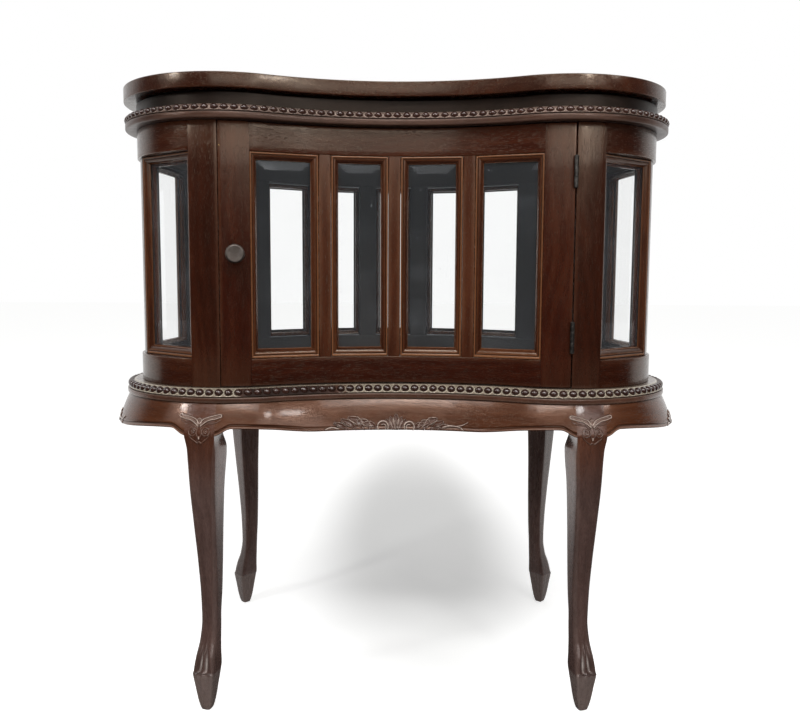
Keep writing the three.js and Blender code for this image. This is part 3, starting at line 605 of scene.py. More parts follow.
def metal(name, colour, second, rough, scale=260.0):
    """Oxidised metal, with a second colour in its rubbed and tarnished patches."""
    finish = Finish(name)
    place = finish.own_place()
    patches = finish.noise(place, scale, 4.0, 0.6)
    fine = finish.noise(place, scale * 7, 2.0, 0.6)
    mixed = finish.blend(patches.above(0.42, 0.66), (*colour, 1.0), (*second, 1.0))
    pits = finish.add(
        "ShaderNodeBump", {}, {"Strength": 0.3, "Distance": 0.0001, "Height": fine + patches})
    shader = finish.add(
        "ShaderNodeBsdfPrincipled",
        {},
        {
            "Base Color": mixed,
            "Metallic": 1.0,
            "Roughness": rough + (fine - 0.5) * 0.25 + (patches - 0.5) * 0.2,
            "Normal": pits.outputs[0],
        },
    )
    return finish.surface(shader.outputs[0])


def window_pane():
    """Thin old plate glass: seen straight through, mirroring more edge-on, with a film of dust. Only
    its outer faces mirror and hold dust, so that a pane does so once."""
    finish = Finish("window_pane")
    place = finish.own_place()
    specks = finish.noise(place, 420.0, 2.0, 0.5).above(0.68, 0.74)
    smears = finish.noise(finish.stretched(place, (9.0, 9.0, 26.0)), 1.0, 4.0, 0.6).above(0.45, 0.75)
    through = finish.add("ShaderNodeBsdfTransparent", {}, {"Color": (0.998, 1.0, 0.999, 1.0)})
    polished = {"Color": (0.95, 0.97, 1.0, 1.0), "Roughness": 0.02}
    mirror = finish.add("ShaderNodeBsdfGlossy", {}, polished)
    dust = finish.add("ShaderNodeBsdfDiffuse", {}, {"Color": (0.80, 0.86, 0.93, 1.0)})
    edge_on = finish.value("ShaderNodeLayerWeight", {}, {"Blend": 0.5}, 1)
    outer = 1.0 - finish.value("ShaderNodeNewGeometry", {}, {}, 6)
    mirrored_share = (0.02 + edge_on ** 5.0 * 0.9) * outer
    clean = {0: mirrored_share, 1: through.outputs[0], 2: mirror.outputs[0]}
    clear = finish.add("ShaderNodeMixShader", {}, clean)
    dusty_share = (0.018 + smears * 0.016 + specks * 0.12) * outer
    dusty = {0: dusty_share, 1: clear.outputs[0], 2: dust.outputs[0]}
    return finish.surface(finish.add("ShaderNodeMixShader", {}, dusty).outputs[0])


CASE_WOOD = mahogany(
    "case_mahogany_polish", (0.0085, 0.0018, 0.0008), (0.0245, 0.0050, 0.0020), (0.049, 0.0135, 0.0054),
    (0.075, 0.031, 0.017))
DOOR_WOOD = mahogany(
    "door_mahogany_polish", (0.0090, 0.0014, 0.0006), (0.0255, 0.0040, 0.0015), (0.050, 0.0120, 0.0046),
    (0.080, 0.031, 0.015))
MUNTIN_WOOD = mahogany(
    "muntin_mahogany_polish", (0.0160, 0.0034, 0.0015), (0.0460, 0.0122, 0.0050), (0.084, 0.027, 0.0115),
    (0.18, 0.09, 0.05))
FRAME_WOOD = mahogany(
    "pane_moulding_polish", (0.0120, 0.0025, 0.0010), (0.036, 0.0086, 0.0030), (0.074, 0.0225, 0.0080),
    (0.19, 0.078, 0.034), 0.2, 0.25)
# The frieze's finish is the darkest of the case, near black.
FRIEZE_WOOD = mahogany(
    "frieze_near_black_polish", (0.0032, 0.0016, 0.0013), (0.0076, 0.0037, 0.0029), (0.018, 0.0082, 0.0060),
    (0.10, 0.06, 0.045), 0.42, 0.03, (0.5, 0.4, 0.32))
BASE_WOOD = mahogany(
    "base_mahogany_polish", (0.0195, 0.0052, 0.0020), (0.0580, 0.0176, 0.0070), (0.110, 0.041, 0.019),
    (0.24, 0.155, 0.12), 0.22, 0.2, (0.95, 0.62, 0.46))
# The leg's last colours are those below the knees: faded, and lighter and greyer as a painted floor sheen.
LEG_WOOD = mahogany(
    "leg_mahogany_polish", (0.0210, 0.0060, 0.0030), (0.0580, 0.0180, 0.0084), (0.108, 0.041, 0.022),
    (0.34, 0.30, 0.275), 0.27, 0.3, (1.0, 0.86, 0.80),
    ((0.026, 0.0135, 0.0108), (0.056, 0.0305, 0.0250), (0.096, 0.056, 0.047)))
CARVED_WOOD = mahogany(
    "carved_mahogany_polish", (0.0190, 0.0052, 0.0023), (0.0560, 0.0172, 0.0078), (0.104, 0.040, 0.020),
    (0.60, 0.49, 0.42), 0.24, 0.4, (1.0, 0.80, 0.70))
BEAD_WOOD = mahogany(
    "bead_mahogany_polish", (0.0100, 0.0034, 0.0021), (0.0300, 0.0105, 0.0065), (0.064, 0.026, 0.017),
    (0.24, 0.17, 0.14), 0.2, 0.8, (1.0, 0.93, 0.9))
TOP_BEAD_WOOD = mahogany(
    "upper_moulding_polish", (0.0110, 0.0034, 0.0019), (0.0320, 0.0112, 0.0062), (0.062, 0.025, 0.015),
    (0.36, 0.29, 0.245), 0.34, 0.06, (0.8, 0.6, 0.5))
FLOOR_BEAD_WOOD = mahogany(
    "lower_moulding_polish", (0.0180, 0.0056, 0.0032), (0.0520, 0.0185, 0.0105), (0.096, 0.040, 0.024),
    (0.44, 0.40, 0.31), 0.24, 0.16, (1.0, 0.76, 0.66))
GLASS = window_pane()
HINGE_STEEL = metal("hinge_oxidised_steel", (0.055, 0.050, 0.046), (0.13, 0.12, 0.11), 0.46)
KNOB_BRONZE = metal("knob_worn_bronze", (0.135, 0.112, 0.098), (0.175, 0.150, 0.133), 0.5, 120.0)
PIN_BRASS = metal("pin_polished_brass", (0.80, 0.56, 0.26), (0.60, 0.40, 0.18), 0.22)
CATCH_STEEL = metal("catch_zinc_plate", (0.34, 0.34, 0.33), (0.20, 0.20, 0.19), 0.38)
SCREW_BRASS = metal("screw_dull_brass", (0.30, 0.20, 0.10), (0.14, 0.10, 0.06), 0.40)

# ---- Boards and their beaded edges -------------------------------------------------------------


def ring_places(reach, spacing):
    """Places round the whole wall, so that points this far out from it are evenly spaced."""
    fine = np.linspace(0, WHOLE_WALL, 4001)
    line = on_wall(fine, reach, 0.0)[:, :2]
    run = np.concatenate([[0], np.cumsum(np.linalg.norm(np.diff(line, axis=0), axis=1))])
    count = int(round(run[-1] / spacing))
    even = np.linspace(0, run[-1], count, endpoint=False)
    return np.interp(even, run, fine), even, run[-1]


def board_solid(along, rows, wear_rows, drift=0.0):
    """A kidney-shaped board. Each row holds a reach and a height for every place along the edge."""
    loops = np.stack([on_wall(along, reach, height) for reach, height in rows])
    loops[:, :, 0] -= drift
    points, faces = skin(loops)
    wear = np.stack([np.broadcast_to(np.asarray(row, float), along.shape) for row in wear_rows])
    return Solid(points, faces, wear=wear.reshape(-1))


def eased_edge(reach, level, ease, turns, upward=1):
    """Rows round an eased edge, at turns from the flat face: upward 1 below a board, -1 above it."""
    rows = []
    for turn in np.radians(turns):
        rows.append((reach - ease * (1 - math.sin(turn)), level + upward * ease * (1 - math.cos(turn))))
    return rows


def top_board():
    """The plain top board, its square edge eased above and below."""
    reach, low, high, ease = TOP_BOARD_REACH, TOP_BOARD_LOW, TOP_BOARD_HIGH, TOP_BOARD_EASE
    along, _, _ = ring_places(reach, BOARD_STEP)
    turns = (22.5, 45.0, 67.5)
    inner = [reach - part for part in (24, 2 * ease, ease)]
    rows = [(place, low) for place in inner] + eased_edge(reach, low, ease, turns)
    rows += [(reach, low + ease), (reach, (low + high) / 2), (reach, high - ease)]
    rows += eased_edge(reach, high, ease, turns[::-1], -1) + [(place, high) for place in inner[::-1]]
    wear = [0, 0, 0.1, 0.25, 0.25, 0.25, 0.05, 0, 0.1, 0.4, 0.4, 0.4, 0.2, 0, 0]
    solid = board_solid(along, rows, wear, TOP_BOARD_DRIFT)
    piece("top_board_eased", [solid], CASE_WOOD, "cabinet", ["top_board"])


def socket_relief(beside, up):
    """Height and wear of the carved ground round a bead, beside and above its middle, in mm. Its rim
    is worn paler; the quirk round it is darkened, a painted shade.
    """
    away = np.hypot(beside / 1.05, up)
    rim = bump_at(away, 5.3, 0.45)
    hollow = np.clip(1 - away / 4.2, 0, 1)
    quirk = np.clip(1.0 - abs(away - 4.7) / 0.4, 0, 1)
    return rim * 0.4 - np.clip(hollow * 3, 0, 1) * 0.5, rim * 0.7 - quirk * 0.9


def beaded_board(name, reach, low, high, band, lean, stands_for, finish, paleness, door_shade=0.0):
    """A board with a rounded fillet, a quirk and, above it, a leaning band carved for the beads.
    The band under the left half of the door is darkened, a painted shade. Returns the bead line's
    reach and height, its tilt and the pitch."""
    quirk = high - band
    foot = np.array([reach - BAND_INSET, quirk + QUIRK_HALF])
    head = np.array([reach - lean, high])
    tilt = math.atan2(foot[0] - head[0], head[1] - foot[1])
    outward = np.array([math.cos(tilt), math.sin(tilt)])
    middle = (foot + head) / 2 - BEAD_SINK * outward
    along, run, length = ring_places(middle[0], BAND_STEP)
    pitch = length / round(length / BEAD_PITCH)
    beside = (np.mod(run / pitch + 0.5, 1.0) - 0.5) * pitch
    sunk = reach - QUIRK_DEPTH
    lip = quirk - QUIRK_HALF
    rows = [(reach - 40, low), (reach - 4, low), (reach - FILLET_ROUND, low)]
    rows += eased_edge(reach, low, FILLET_ROUND, (30.0, 60.0, 90.0))
    rows += [(reach, (low + quirk) / 2), (reach, lip - 0.7), (reach - 0.3, lip - 0.15)]
    rows += [(reach - 0.8, lip), (sunk, quirk - 0.2), (sunk, quirk + 0.2)]
    # Below 0, the lip and the quirk under the band are darkened: painted shade.
    wear = [0.0, 0.0, 0.02, 0.05, 0.05, 0.05, 0.0, 0.03, 0.16, -0.2, -1.2, -1.2]
    from_middle = np.where(along > HALF_WALL, along - WHOLE_WALL, along)
    # Painted shade: the band darkens under the left half of the door.
    start, end, spread = DOOR_SHADE_START, DOOR_SHADE_END, DOOR_SHADE_SPREAD
    door_shaded = smooth((from_middle - start) / DOOR_SHADE_EDGE) * (1 - smooth((from_middle - end) / spread))
    for part in np.linspace(-1, 1, 15):
        spot = middle + (head - foot) / 2 * part * 0.985
        relief, worn = socket_relief(beside, part * SOCKET_HALF)
        rows.append((spot[0] + relief * outward[0], spot[1] + relief * outward[1]))
        pale = worn + paleness
        wear.append(pale - (pale + 1.0) * door_shade * door_shaded)
    rows += [(head[0] - 0.5, high - 0.25), (head[0] - 0.9, high), (head[0] - 3.0, high)]
    rows += [(0, high), (-8, high), (-40, high)]
    wear += [0.85, 0.6, 0.2, 0.1, 0.0, 0.0]
    solid = board_solid(along, rows, wear)
    mean_reach = np.array([np.mean(row[0]) for row in rows])
    solid.lining = inside_share(np.repeat(mean_reach, len(along)), BOARD_GREY_START)
    piece(name, [solid], finish, "cabinet", [stands_for], sharp=50)
    return middle, tilt, pitch


def plug_tree(name, sockets):
    """An empty geometry tree with named inputs, ready for its nodes."""
    tree = bpy.data.node_groups.new(name, "GeometryNodeTree")
    tree.interface.new_socket("Geometry", in_out="INPUT", socket_type="NodeSocketGeometry")
    for label, kind, start in sockets:
        made = tree.interface.new_socket(label, in_out="INPUT", socket_type=kind)
        if start is not None:
            made.default_value = start
    tree.interface.new_socket("Geometry", in_out="OUTPUT", socket_type="NodeSocketGeometry")
    return Finish(name, tree)


def bead_tree():
    """Beads at an even pitch along a line, each a half-sunk ball facing as the line says."""
    plan = plug_tree("bead_row", [
        ("Pitch", "NodeSocketFloat", 0.0117),
        ("Half Width", "NodeSocketFloat", 0.0039),
        ("Half Height", "NodeSocketFloat", 0.0035),
        ("Proud", "NodeSocketFloat", 0.003),
        ("Unevenness", "NodeSocketFloat", 0.06),
        ("Seed", "NodeSocketInt", 4),
        ("Finish", "NodeSocketMaterial", None),
    ])
    given = plan.add("NodeGroupInput").outputs
    line = plan.add("GeometryNodeMeshToCurve", {}, {"Mesh": given["Geometry"]}).outputs[0]
    length = plan.value("GeometryNodeCurveLength", {}, {"Curve": line})
    each = {0: length / Value(plan, given["Pitch"])}
    count = plan.value("ShaderNodeMath", {"operation": "ROUND"}, each)
    even = plan.add("GeometryNodeResampleCurve", {"mode": "COUNT"}, {"Curve": line, "Count": count})
    spots = plan.add(
        "GeometryNodeCurveToPoints", {"mode": "EVALUATED"}, {"Curve": even.outputs[0]}).outputs
    turned = plan.add(
        "FunctionNodeAxesToRotation",
        {"primary_axis": "Z", "secondary_axis": "X"},
        {"Primary Axis": facing_of(plan), "Secondary Axis": spots["Tangent"]},
    )
    ball = plan.add("GeometryNodeMeshUVSphere", {}, {"Segments": 12, "Rings": 6, "Radius": 1.0})
    sizes = {0: given["Half Width"], 1: given["Half Height"], 2: given["Proud"]}
    size = plan.value("ShaderNodeCombineXYZ", {}, sizes)
    shaped = plan.add("GeometryNodeTransform", {}, {"Geometry": ball.outputs[0], "Scale": size})
    rounded = plan.add("GeometryNodeSetShadeSmooth", {}, {"Geometry": shaped.outputs[0]})
    smallest = 1.0 - Value(plan, given["Unevenness"])
    uneven = plan.add(
        "FunctionNodeRandomValue",
        {"data_type": "FLOAT"},
        {"Min": smallest, "Max": 1.0, "Seed": given["Seed"]},
    )
    placed = plan.add(
        "GeometryNodeInstanceOnPoints",
        {},
        {
            "Points": spots["Points"],
            "Instance": rounded.outputs[0],
            "Rotation": turned.outputs[0],
            "Scale": uneven.outputs[1],
        },
    )
    return finished_tree(plan, placed.outputs[0], given["Finish"])


def facing_of(plan):
    """The way that each point of the base mesh faces."""
    settings = {"data_type": "FLOAT_VECTOR"}
    return plan.value("GeometryNodeInputNamedAttribute", settings, {"Name": "facing"})


def finished_tree(plan, grown, finish):
    """Ends a tree: real geometry, its place in the wood, and its material."""
    real = plan.add("GeometryNodeRealizeInstances", {}, {"Geometry": grown})
    place = plan.add("GeometryNodeInputPosition")
    kept = plan.add(
        "GeometryNodeStoreNamedAttribute",
        {"data_type": "FLOAT_VECTOR", "domain": "POINT"},
        {"Geometry": real.outputs[0], "Name": "grain", "Value": place.outputs[0]},
    )
    painted = plan.add("GeometryNodeSetMaterial", {}, {"Geometry": kept.outputs[0], "Material": finish})
    plan.add("NodeGroupOutput", {}, {0: painted.outputs[0]})
    return plan.tree


def grown_piece(name, base, tree, values, body):
    """Runs a geometry tree on a base mesh and keeps the result as a plain mesh."""
    made = placed_object(name, base)
    grower = made.modifiers.new("grower", "NODES")
    grower.node_group = tree
    for item in tree.interface.items_tree:
        if item.item_type == "SOCKET" and item.in_out == "INPUT" and item.name in values:
            grower[item.identifier] = values[item.name]
    result = made.evaluated_get(bpy.context.evaluated_depsgraph_get())
    mesh = bpy.data.meshes.new_from_object(result)
    made.modifiers.clear()
    made.data = mesh
    mesh.name = name
    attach(made, body)
    return made


def facing_mesh(name, points, edges, facing):
    """Points, joined or loose, that each face their own way, for a tree to grow pieces on."""
    mesh = bpy.data.meshes.new(name)
    mesh.from_pydata((np.asarray(points) / 1000).tolist(), edges, [])
    mark(mesh, "facing", facing)
    return mesh


def bead_row(name, tree, middle, tilt, pitch, bead, seed):
    """The row of beads along a board's carved band."""
    along, _, _ = ring_places(middle[0], BAND_STEP)
    points = on_wall(along, middle[0], middle[1])
    _, _, out_x, out_y = wall_line(along)
    level, rise = math.cos(tilt), math.sin(tilt)
    facing = np.stack([out_x * level, out_y * level, np.full_like(out_x, rise)], axis=-1)
    edges = [(i, (i + 1) % len(points)) for i in range(len(points))]
    sizes = dict(zip(("Pitch", "Half Width", "Half Height", "Proud"), (pitch, *bead)))
    values = {label: size / 1000 for label, size in sizes.items()}
    values.update({"Seed": seed, "Finish": BEAD_WOOD})
    base = facing_mesh(name, points, edges, facing)
    return grown_piece(name, base, tree, values, "cabinet")


def frieze():
    """The plain board under the top board, set in along its upper edge. The set-in part is darkened, a
    painted shade under the top board.
    """
    along, _, _ = ring_places(0, BOARD_STEP)
    top = TOP_BOARD_LOW - GAP
    rows = [(-30, FRIEZE_LOW), (0, FRIEZE_LOW), (0, (FRIEZE_LOW + SHADOW_LOW) / 2)]
    rows += [(0, SHADOW_LOW - 0.6), (-0.6, SHADOW_LOW), (-SHADOW_INSET, SHADOW_LOW)]
    rows += [(-SHADOW_INSET, top), (-30, top)]
    # The set-in rows are darkened: painted shade under the top board.
    solid = board_solid(along, rows, [0, 0, 0, 0, 0, -0.8, -0.8, 0])
    piece("frieze_board", [solid], FRIEZE_WOOD, "cabinet", ["frieze"])


def boards():
    """The four boards from the top down, then their two rows of beads."""
    top_board()
    frieze()
    case_top = beaded_board(
        "case_top_moulding", CASE_TOP_REACH, CASE_TOP_LOW, CASE_TOP_HIGH, CASE_TOP_BAND,
        CASE_TOP_LEAN, "case_top", TOP_BEAD_WOOD, 0.08)
    case_floor = beaded_board(
        "floor_board_moulding", FLOOR_BOARD_REACH, FLOOR_BOARD_LOW, FLOOR_TOP, FLOOR_BOARD_BAND,
        FLOOR_BOARD_LEAN, "case_floor", FLOOR_BEAD_WOOD, 0.3, 1.0)
    tree = bead_tree()
    bead_row("case_top_beads", tree, *case_top, CASE_TOP_BEAD, 4)
    bead_row("floor_board_beads", tree, *case_floor, FLOOR_BOARD_BEAD, 9)


# ---- Case walls and windows --------------------------------------------------------------------

WALL_SIDE = 0.2
POST_START = DOOR_WIDTH / 2 + DOOR_GAP
WALL_START = POST_START + FRONT_POST
BACK_MIDDLE = HALF_WALL + BACK_DRIFT


def wall_runs():
    """The side windows and stiles from the front, and the back windows and stiles in order."""
    windows, uprights, reached = [], [], WALL_START
    for i, width in enumerate(SIDE_WINDOWS):
        windows.append((reached, reached + width))
        reached += width
        if i < len(SIDE_STILES):
            uprights.append((reached, reached + SIDE_STILES[i]))
            reached += SIDE_STILES[i]
    middle, second, third = BACK_WINDOWS
    # The letters are how far each edge stands from the middle of the back.
    a = middle / 2
    b = a + BACK_STILES[0]
    c = b + second
    d = c + BACK_STILES[1]
    e = d + third
    back_windows = [(-e, -d), (-c, -b), (-a, a), (b, c), (d, e)]
    back_uprights = [(-d, -c), (-b, -a), (a, b), (c, d)]
    moved = [[(BACK_MIDDLE + u, BACK_MIDDLE + v) for u, v in run] for run in (back_windows, back_uprights)]
    posts = [(reached, BACK_MIDDLE - e), (BACK_MIDDLE + e, WHOLE_WALL - reached)]
    return windows, uprights, moved[0], moved[1], posts


def mirrored(run):
    """The same run on the other side of the middle."""
    return WHOLE_WALL - run[1], WHOLE_WALL - run[0]


def member(name, solid, finish=None, body="cabinet"):
    """A bent member that stands for the frame's node of the same name."""
    return piece(f"{name}_bent", [solid], finish or CASE_WOOD, body, [name])


class Window:
    """A flat opening between two uprights, with its own frame: x along, y inward, z up."""

    def __init__(self, run, reach):
        start, end = run[0] + GAP / 2, run[1] - GAP / 2
        left, right = on_wall(start, reach, 0.0)[:2], on_wall(end, reach, 0.0)[:2]
        self.middle = (left + right) / 2
        chord = right - left
        self.facing = math.atan2(chord[1], chord[0])
        self.half_width = float(np.hypot(*chord)) / 2
        self.half_height = (OPENING_HIGH - OPENING_LOW - 2 * GAP) / 2
        self.lean_left = math.tan(self._lean(start))
        self.lean_right = -math.tan(self._lean(end))

    def _lean(self, along):
        _, _, out_x, out_y = wall_line(along)
        lean = self.facing - math.atan2(float(out_x), -float(out_y))
        return math.atan2(math.sin(lean), math.cos(lean))

    def points(self, local):
        x = self.middle[0] + local[:, 0] * math.cos(self.facing) - local[:, 1] * math.sin(self.facing)
        y = self.middle[1] + local[:, 0] * math.sin(self.facing) + local[:, 1] * math.cos(self.facing)
        return np.stack([x, y, local[:, 2] + (OPENING_LOW + OPENING_HIGH) / 2], axis=-1)


def mitred_frame(window, profile, foot_ratio=1.0):
    """Four mitred members round a window. The profile gives inset, depth and wear of each point."""
    solids = []
    signs = {"left": (-1, 0), "right": (1, 0), "low": (0, -1), "high": (0, 1)}
    for side, (sx, sz) in signs.items():
        upright = sx != 0
        ends = []
        for end in (-1, 1):
            loop = []
            for inset, depth, _ in profile:
                at_wall = inset < WALL_SIDE
                lean_left = max(window.lean_left * depth, 0) if at_wall else 0
                lean_right = max(window.lean_right * depth, 0) if at_wall else 0
                left = -window.half_width + lean_left + inset
                right = window.half_width - lean_right - inset
                low = -window.half_height + inset * foot_ratio
                high = window.half_height - inset
                if upright:
                    loop.append((left if sx < 0 else right, depth, low if end < 0 else high))
                else:
                    loop.append((left if end < 0 else right, depth, low if sz < 0 else high))
            ends.append(np.array(loop))
        steps = (0, 0.02, 0.35, 0.65, 0.98, 1)
        loops = np.array([ends[0] * (1 - part) + ends[1] * part for part in steps])
        local, faces = skin(loops)
        grain = local[:, GRAIN_UP] if upright else local[:, GRAIN_ALONG]
        grain = grain + np.array([0, 40.0 * (sx + 2 * sz), 0])
        wear = np.tile([worn for _, _, worn in profile], len(loops))
        # The low member's worn parts are paler still: a painted highlight on the member that faces up.
        wear = wear + (0.25 if side == "low" else 0.0) * (wear > 0.05)
        solids.append(Solid(window.points(local), faces, grain, wear))
    return solids


def moulding_profile(back):
    """A small bead at the rim, a quirk, and a slope that rolls down to the glass. The wear below 0
    darkens the outer gap, the quirk and the glass's seat: painted shade.
    """
    seat = GLASS_SEAT - PUTTY_GAP
    return [
        (0.1, back, -0.3), (0.1, 1.3, 0.0), (0.35, 0.5, 0.35), (0.9, 0.1, 0.6), (1.6, 0.0, 0.55),
        (2.3, 0.25, 0.3), (2.75, 0.8, 0.0), (3.0, 1.35, -0.9), (3.25, 1.0, -0.2), (3.7, 0.72, 0.12),
        (4.5, 0.75, 0.10), (5.6, 1.25, 0.02), (6.7, 2.15, 0.0), (7.6, 3.3, 0.0), (8.3, 4.5, 0.05),
        (8.7, 5.2, 0.35), (PANE_FRAME, 5.5, 0.3), (PANE_FRAME, seat, -0.5),
    ]


GLAZING_STRIP = [
    (0.2, 0.0, 0.0), (5.5, 0.0, 0.0), (5.5, 1.6, 0.2), (5.0, 3.0, 0.1), (3.8, 4.6, 0.1),
    (2.4, 5.4, 0.1), (0.2, STRIP_DEPTH, 0.0),
]


def case_walls():
    """The bent rails round the case, the front posts, the stiles and the back posts."""
    _, uprights, _, back_uprights, posts = wall_runs()
    between = (OPENING_LOW + GAP, OPENING_HIGH - GAP)
    full = (FLOOR_TOP + GAP, CASE_TOP_LOW - GAP)
    run = (WALL_START, WHOLE_WALL - WALL_START)
    wall = (0, -CASE_WALL)
    for name, levels in (("top", (OPENING_HIGH, full[1])), ("bottom", (full[0], OPENING_LOW))):
        member(f"case_{name}_rail", wall_block(run, wall, levels, GRAIN_ALONG, 0.8, "se"))
    open_side = (POST_START - GAP / 2, WALL_START)
    shut_side = (POST_START - GAP / 2 - SNUG, WALL_START)
    member("front_post_left", wall_block(mirrored(shut_side), wall, full, GRAIN_UP, 0.3, "s"))
    member("front_post_right", wall_block(open_side, wall, full, GRAIN_UP, 0.7, "e"))
    stiles = {}
    for name, place in zip(("front", "rear"), uprights):
        stiles[f"side_stile_{name}_right"] = place
        stiles[f"side_stile_{name}_left"] = mirrored(place)
    for side, place in zip(("right", "left"), posts):
        stiles[f"back_post_{side}"] = place
    for i, place in enumerate(back_uprights, 1):
        stiles[f"back_stile_{i}"] = place
    for name, place in stiles.items():
        inset = (-STILE_INSET, -CASE_WALL)
        member(name, wall_block(place, inset, between, GRAIN_UP, 0.6, "bt"))


def fixed_windows():
    """The mitred mouldings outside the fixed panes and the glazing strips inside them."""
    windows, _, back_windows, _, _ = wall_runs()
    runs = {}
    for name, place in zip(("front", "middle", "rear"), windows):
        runs[f"side_{name}_right"] = place
        runs[f"side_{name}_left"] = mirrored(place)
    for i, place in enumerate(back_windows, 1):
        runs[f"back_{i}"] = place
    strip_start = GLASS_SEAT + GLASS_THICKNESS + PUTTY_GAP
    for name, place in runs.items():
        window = Window(place, -STILE_INSET)
        profile = moulding_profile(GLASS_SEAT - PUTTY_GAP)
        outside = mitred_frame(window, profile, PANE_FRAME_FOOT / PANE_FRAME)
        lean = max(window.lean_left, window.lean_right, 0)
        narrow = STRIP_DEPTH * lean + strip_start * lean
        strip = [(inset + narrow + 0.2, depth + strip_start, worn) for inset, depth, worn in GLAZING_STRIP]
        inside = mitred_frame(window, strip)
        piece(f"{name}_moulding", outside + inside, FRAME_WOOD, "cabinet", sharp=34)


# ---- Door --------------------------------------------------------------------------------------

STILE_EDGE = DOOR_WIDTH / 2 - DOOR_STILE


def door():
    """The door's bent members and, between them, four mitred frames for the panes."""
    half = DOOR_WIDTH / 2
    thick = (0, -DOOR_THICKNESS)
    full = (DOOR_LOW, DOOR_HIGH)
    between = (-STILE_EDGE, STILE_EDGE)
    shut_side = (-half - SNUG, -STILE_EDGE)
    hinge_side = (STILE_EDGE, half + GAP / 2)
    top, bottom = (OPENING_HIGH, DOOR_HIGH), (DOOR_LOW, OPENING_LOW)
    for name, solid in (
        ("stile_left", wall_block(shut_side, thick, full, GRAIN_UP, 0.5, "e")),
        ("stile_right", wall_block(hinge_side, thick, full, GRAIN_UP, 1.0, "s")),
        ("top_rail", wall_block(between, thick, top, GRAIN_ALONG, 1.0, "se")),
        ("bottom_rail", wall_block(between, thick, bottom, GRAIN_ALONG, 0.8, "se")),
    ):
        member(f"door_{name}", solid, DOOR_WOOD, "door")
    edges = [-STILE_EDGE]
    inset = (-MUNTIN_INSET, -DOOR_THICKNESS)
    opening = (OPENING_LOW + GAP, OPENING_HIGH - GAP)
    for i, place in enumerate((-OUTER_MUNTIN_PLACE, -MIDDLE_MUNTIN_DRIFT, OUTER_MUNTIN_PLACE), 1):
        run = (place - MUNTIN / 2, place + MUNTIN / 2)
        edges += run
        solid = wall_block(run, inset, opening, GRAIN_UP, 0.9, "bt")
        member(f"door_muntin_{i}", solid, MUNTIN_WOOD, "door")
    edges.append(STILE_EDGE)
    rebate = PANE_FRAME - GLASS_REBATE
    back = [(rebate, GLASS_SEAT - PUTTY_GAP, 0), (rebate, PANE_FRAME_DEPTH, 0)]
    profile = moulding_profile(PANE_FRAME_DEPTH) + back
    for i in range(4):
        window = Window((edges[2 * i], edges[2 * i + 1]), -PANE_FRAME_INSET)
        solids = mitred_frame(window, profile, PANE_FRAME_FOOT / PANE_FRAME)
        name = f"door_pane_frame_{i + 1}"
        piece(f"{name}_mitred", solids, FRAME_WOOD, "door", [name], sharp=34)


# ---- Apron -------------------------------------------------------------------------------------

APRON_STEP = 2.5
BULGE_LEVEL = APRON_TOP - APRON_BULGE_DROP
EDGE_LEVEL = APRON_TOP - APRON_LOW_DROP

# Each leg's name, place along the wall, turn in degrees, whether it is a back leg, and its side.
LEGS = [
    ("front_right", FRONT_LEG_PLACE, FRONT_LEG_TURN, False, 1),
    ("back_right", HALF_WALL + BACK_LEG_DRIFT - BACK_LEG_PLACE, BACK_LEG_TURN, True, 1),
    ("back_left", HALF_WALL + BACK_LEG_DRIFT + BACK_LEG_PLACE, BACK_LEG_TURN, True, -1),
    ("front_left", WHOLE_WALL - FRONT_LEG_PLACE, FRONT_LEG_TURN, False, -1),
]


def apron_face(height):
    """How far out the apron's face stands: a hollow slope that runs into a rounded toe."""
    height = np.asarray(height, float)
    lean = math.atan(APRON_SLOPE)
    toe_reach = APRON_GROUND - APRON_TOE_ROUND
    toe_level = BULGE_LEVEL - APRON_TOE_ROUND * math.sin(lean)
    bulge = toe_reach + APRON_TOE_ROUND * math.cos(lean)
    bend = (bulge - APRON_TOP_REACH - APRON_SLOPE * APRON_BULGE_DROP) / APRON_BULGE_DROP ** 2
    rise = height - BULGE_LEVEL
    toe = toe_reach + np.sqrt(np.maximum(APRON_TOE_ROUND ** 2 - (height - toe_level) ** 2, 0))
    return np.where(rise > 0, bulge - APRON_SLOPE * rise - bend * rise ** 2, toe)


def apron_edge(distance):
    """Height of the apron's lower edge at a distance from the nearest leg's middle."""
    arch = smooth((distance - ARCH_START) / (ARCH_FULL - ARCH_START))
    fade = 1 - smooth((distance - ARCH_FULL) / (ARCH_FADE - ARCH_FULL))
    return EDGE_LEVEL + (APRON_LOW_DROP - APRON_HIGH_DROP) * arch * fade


def leg_half_run(back):
    """Half of the wall's run that a leg's top block takes up."""
    radius = BACK_RADIUS if back else LOBE_RADIUS
    return LEG_TOP_WIDTH / 2 * radius / (radius + APRON_REACH)


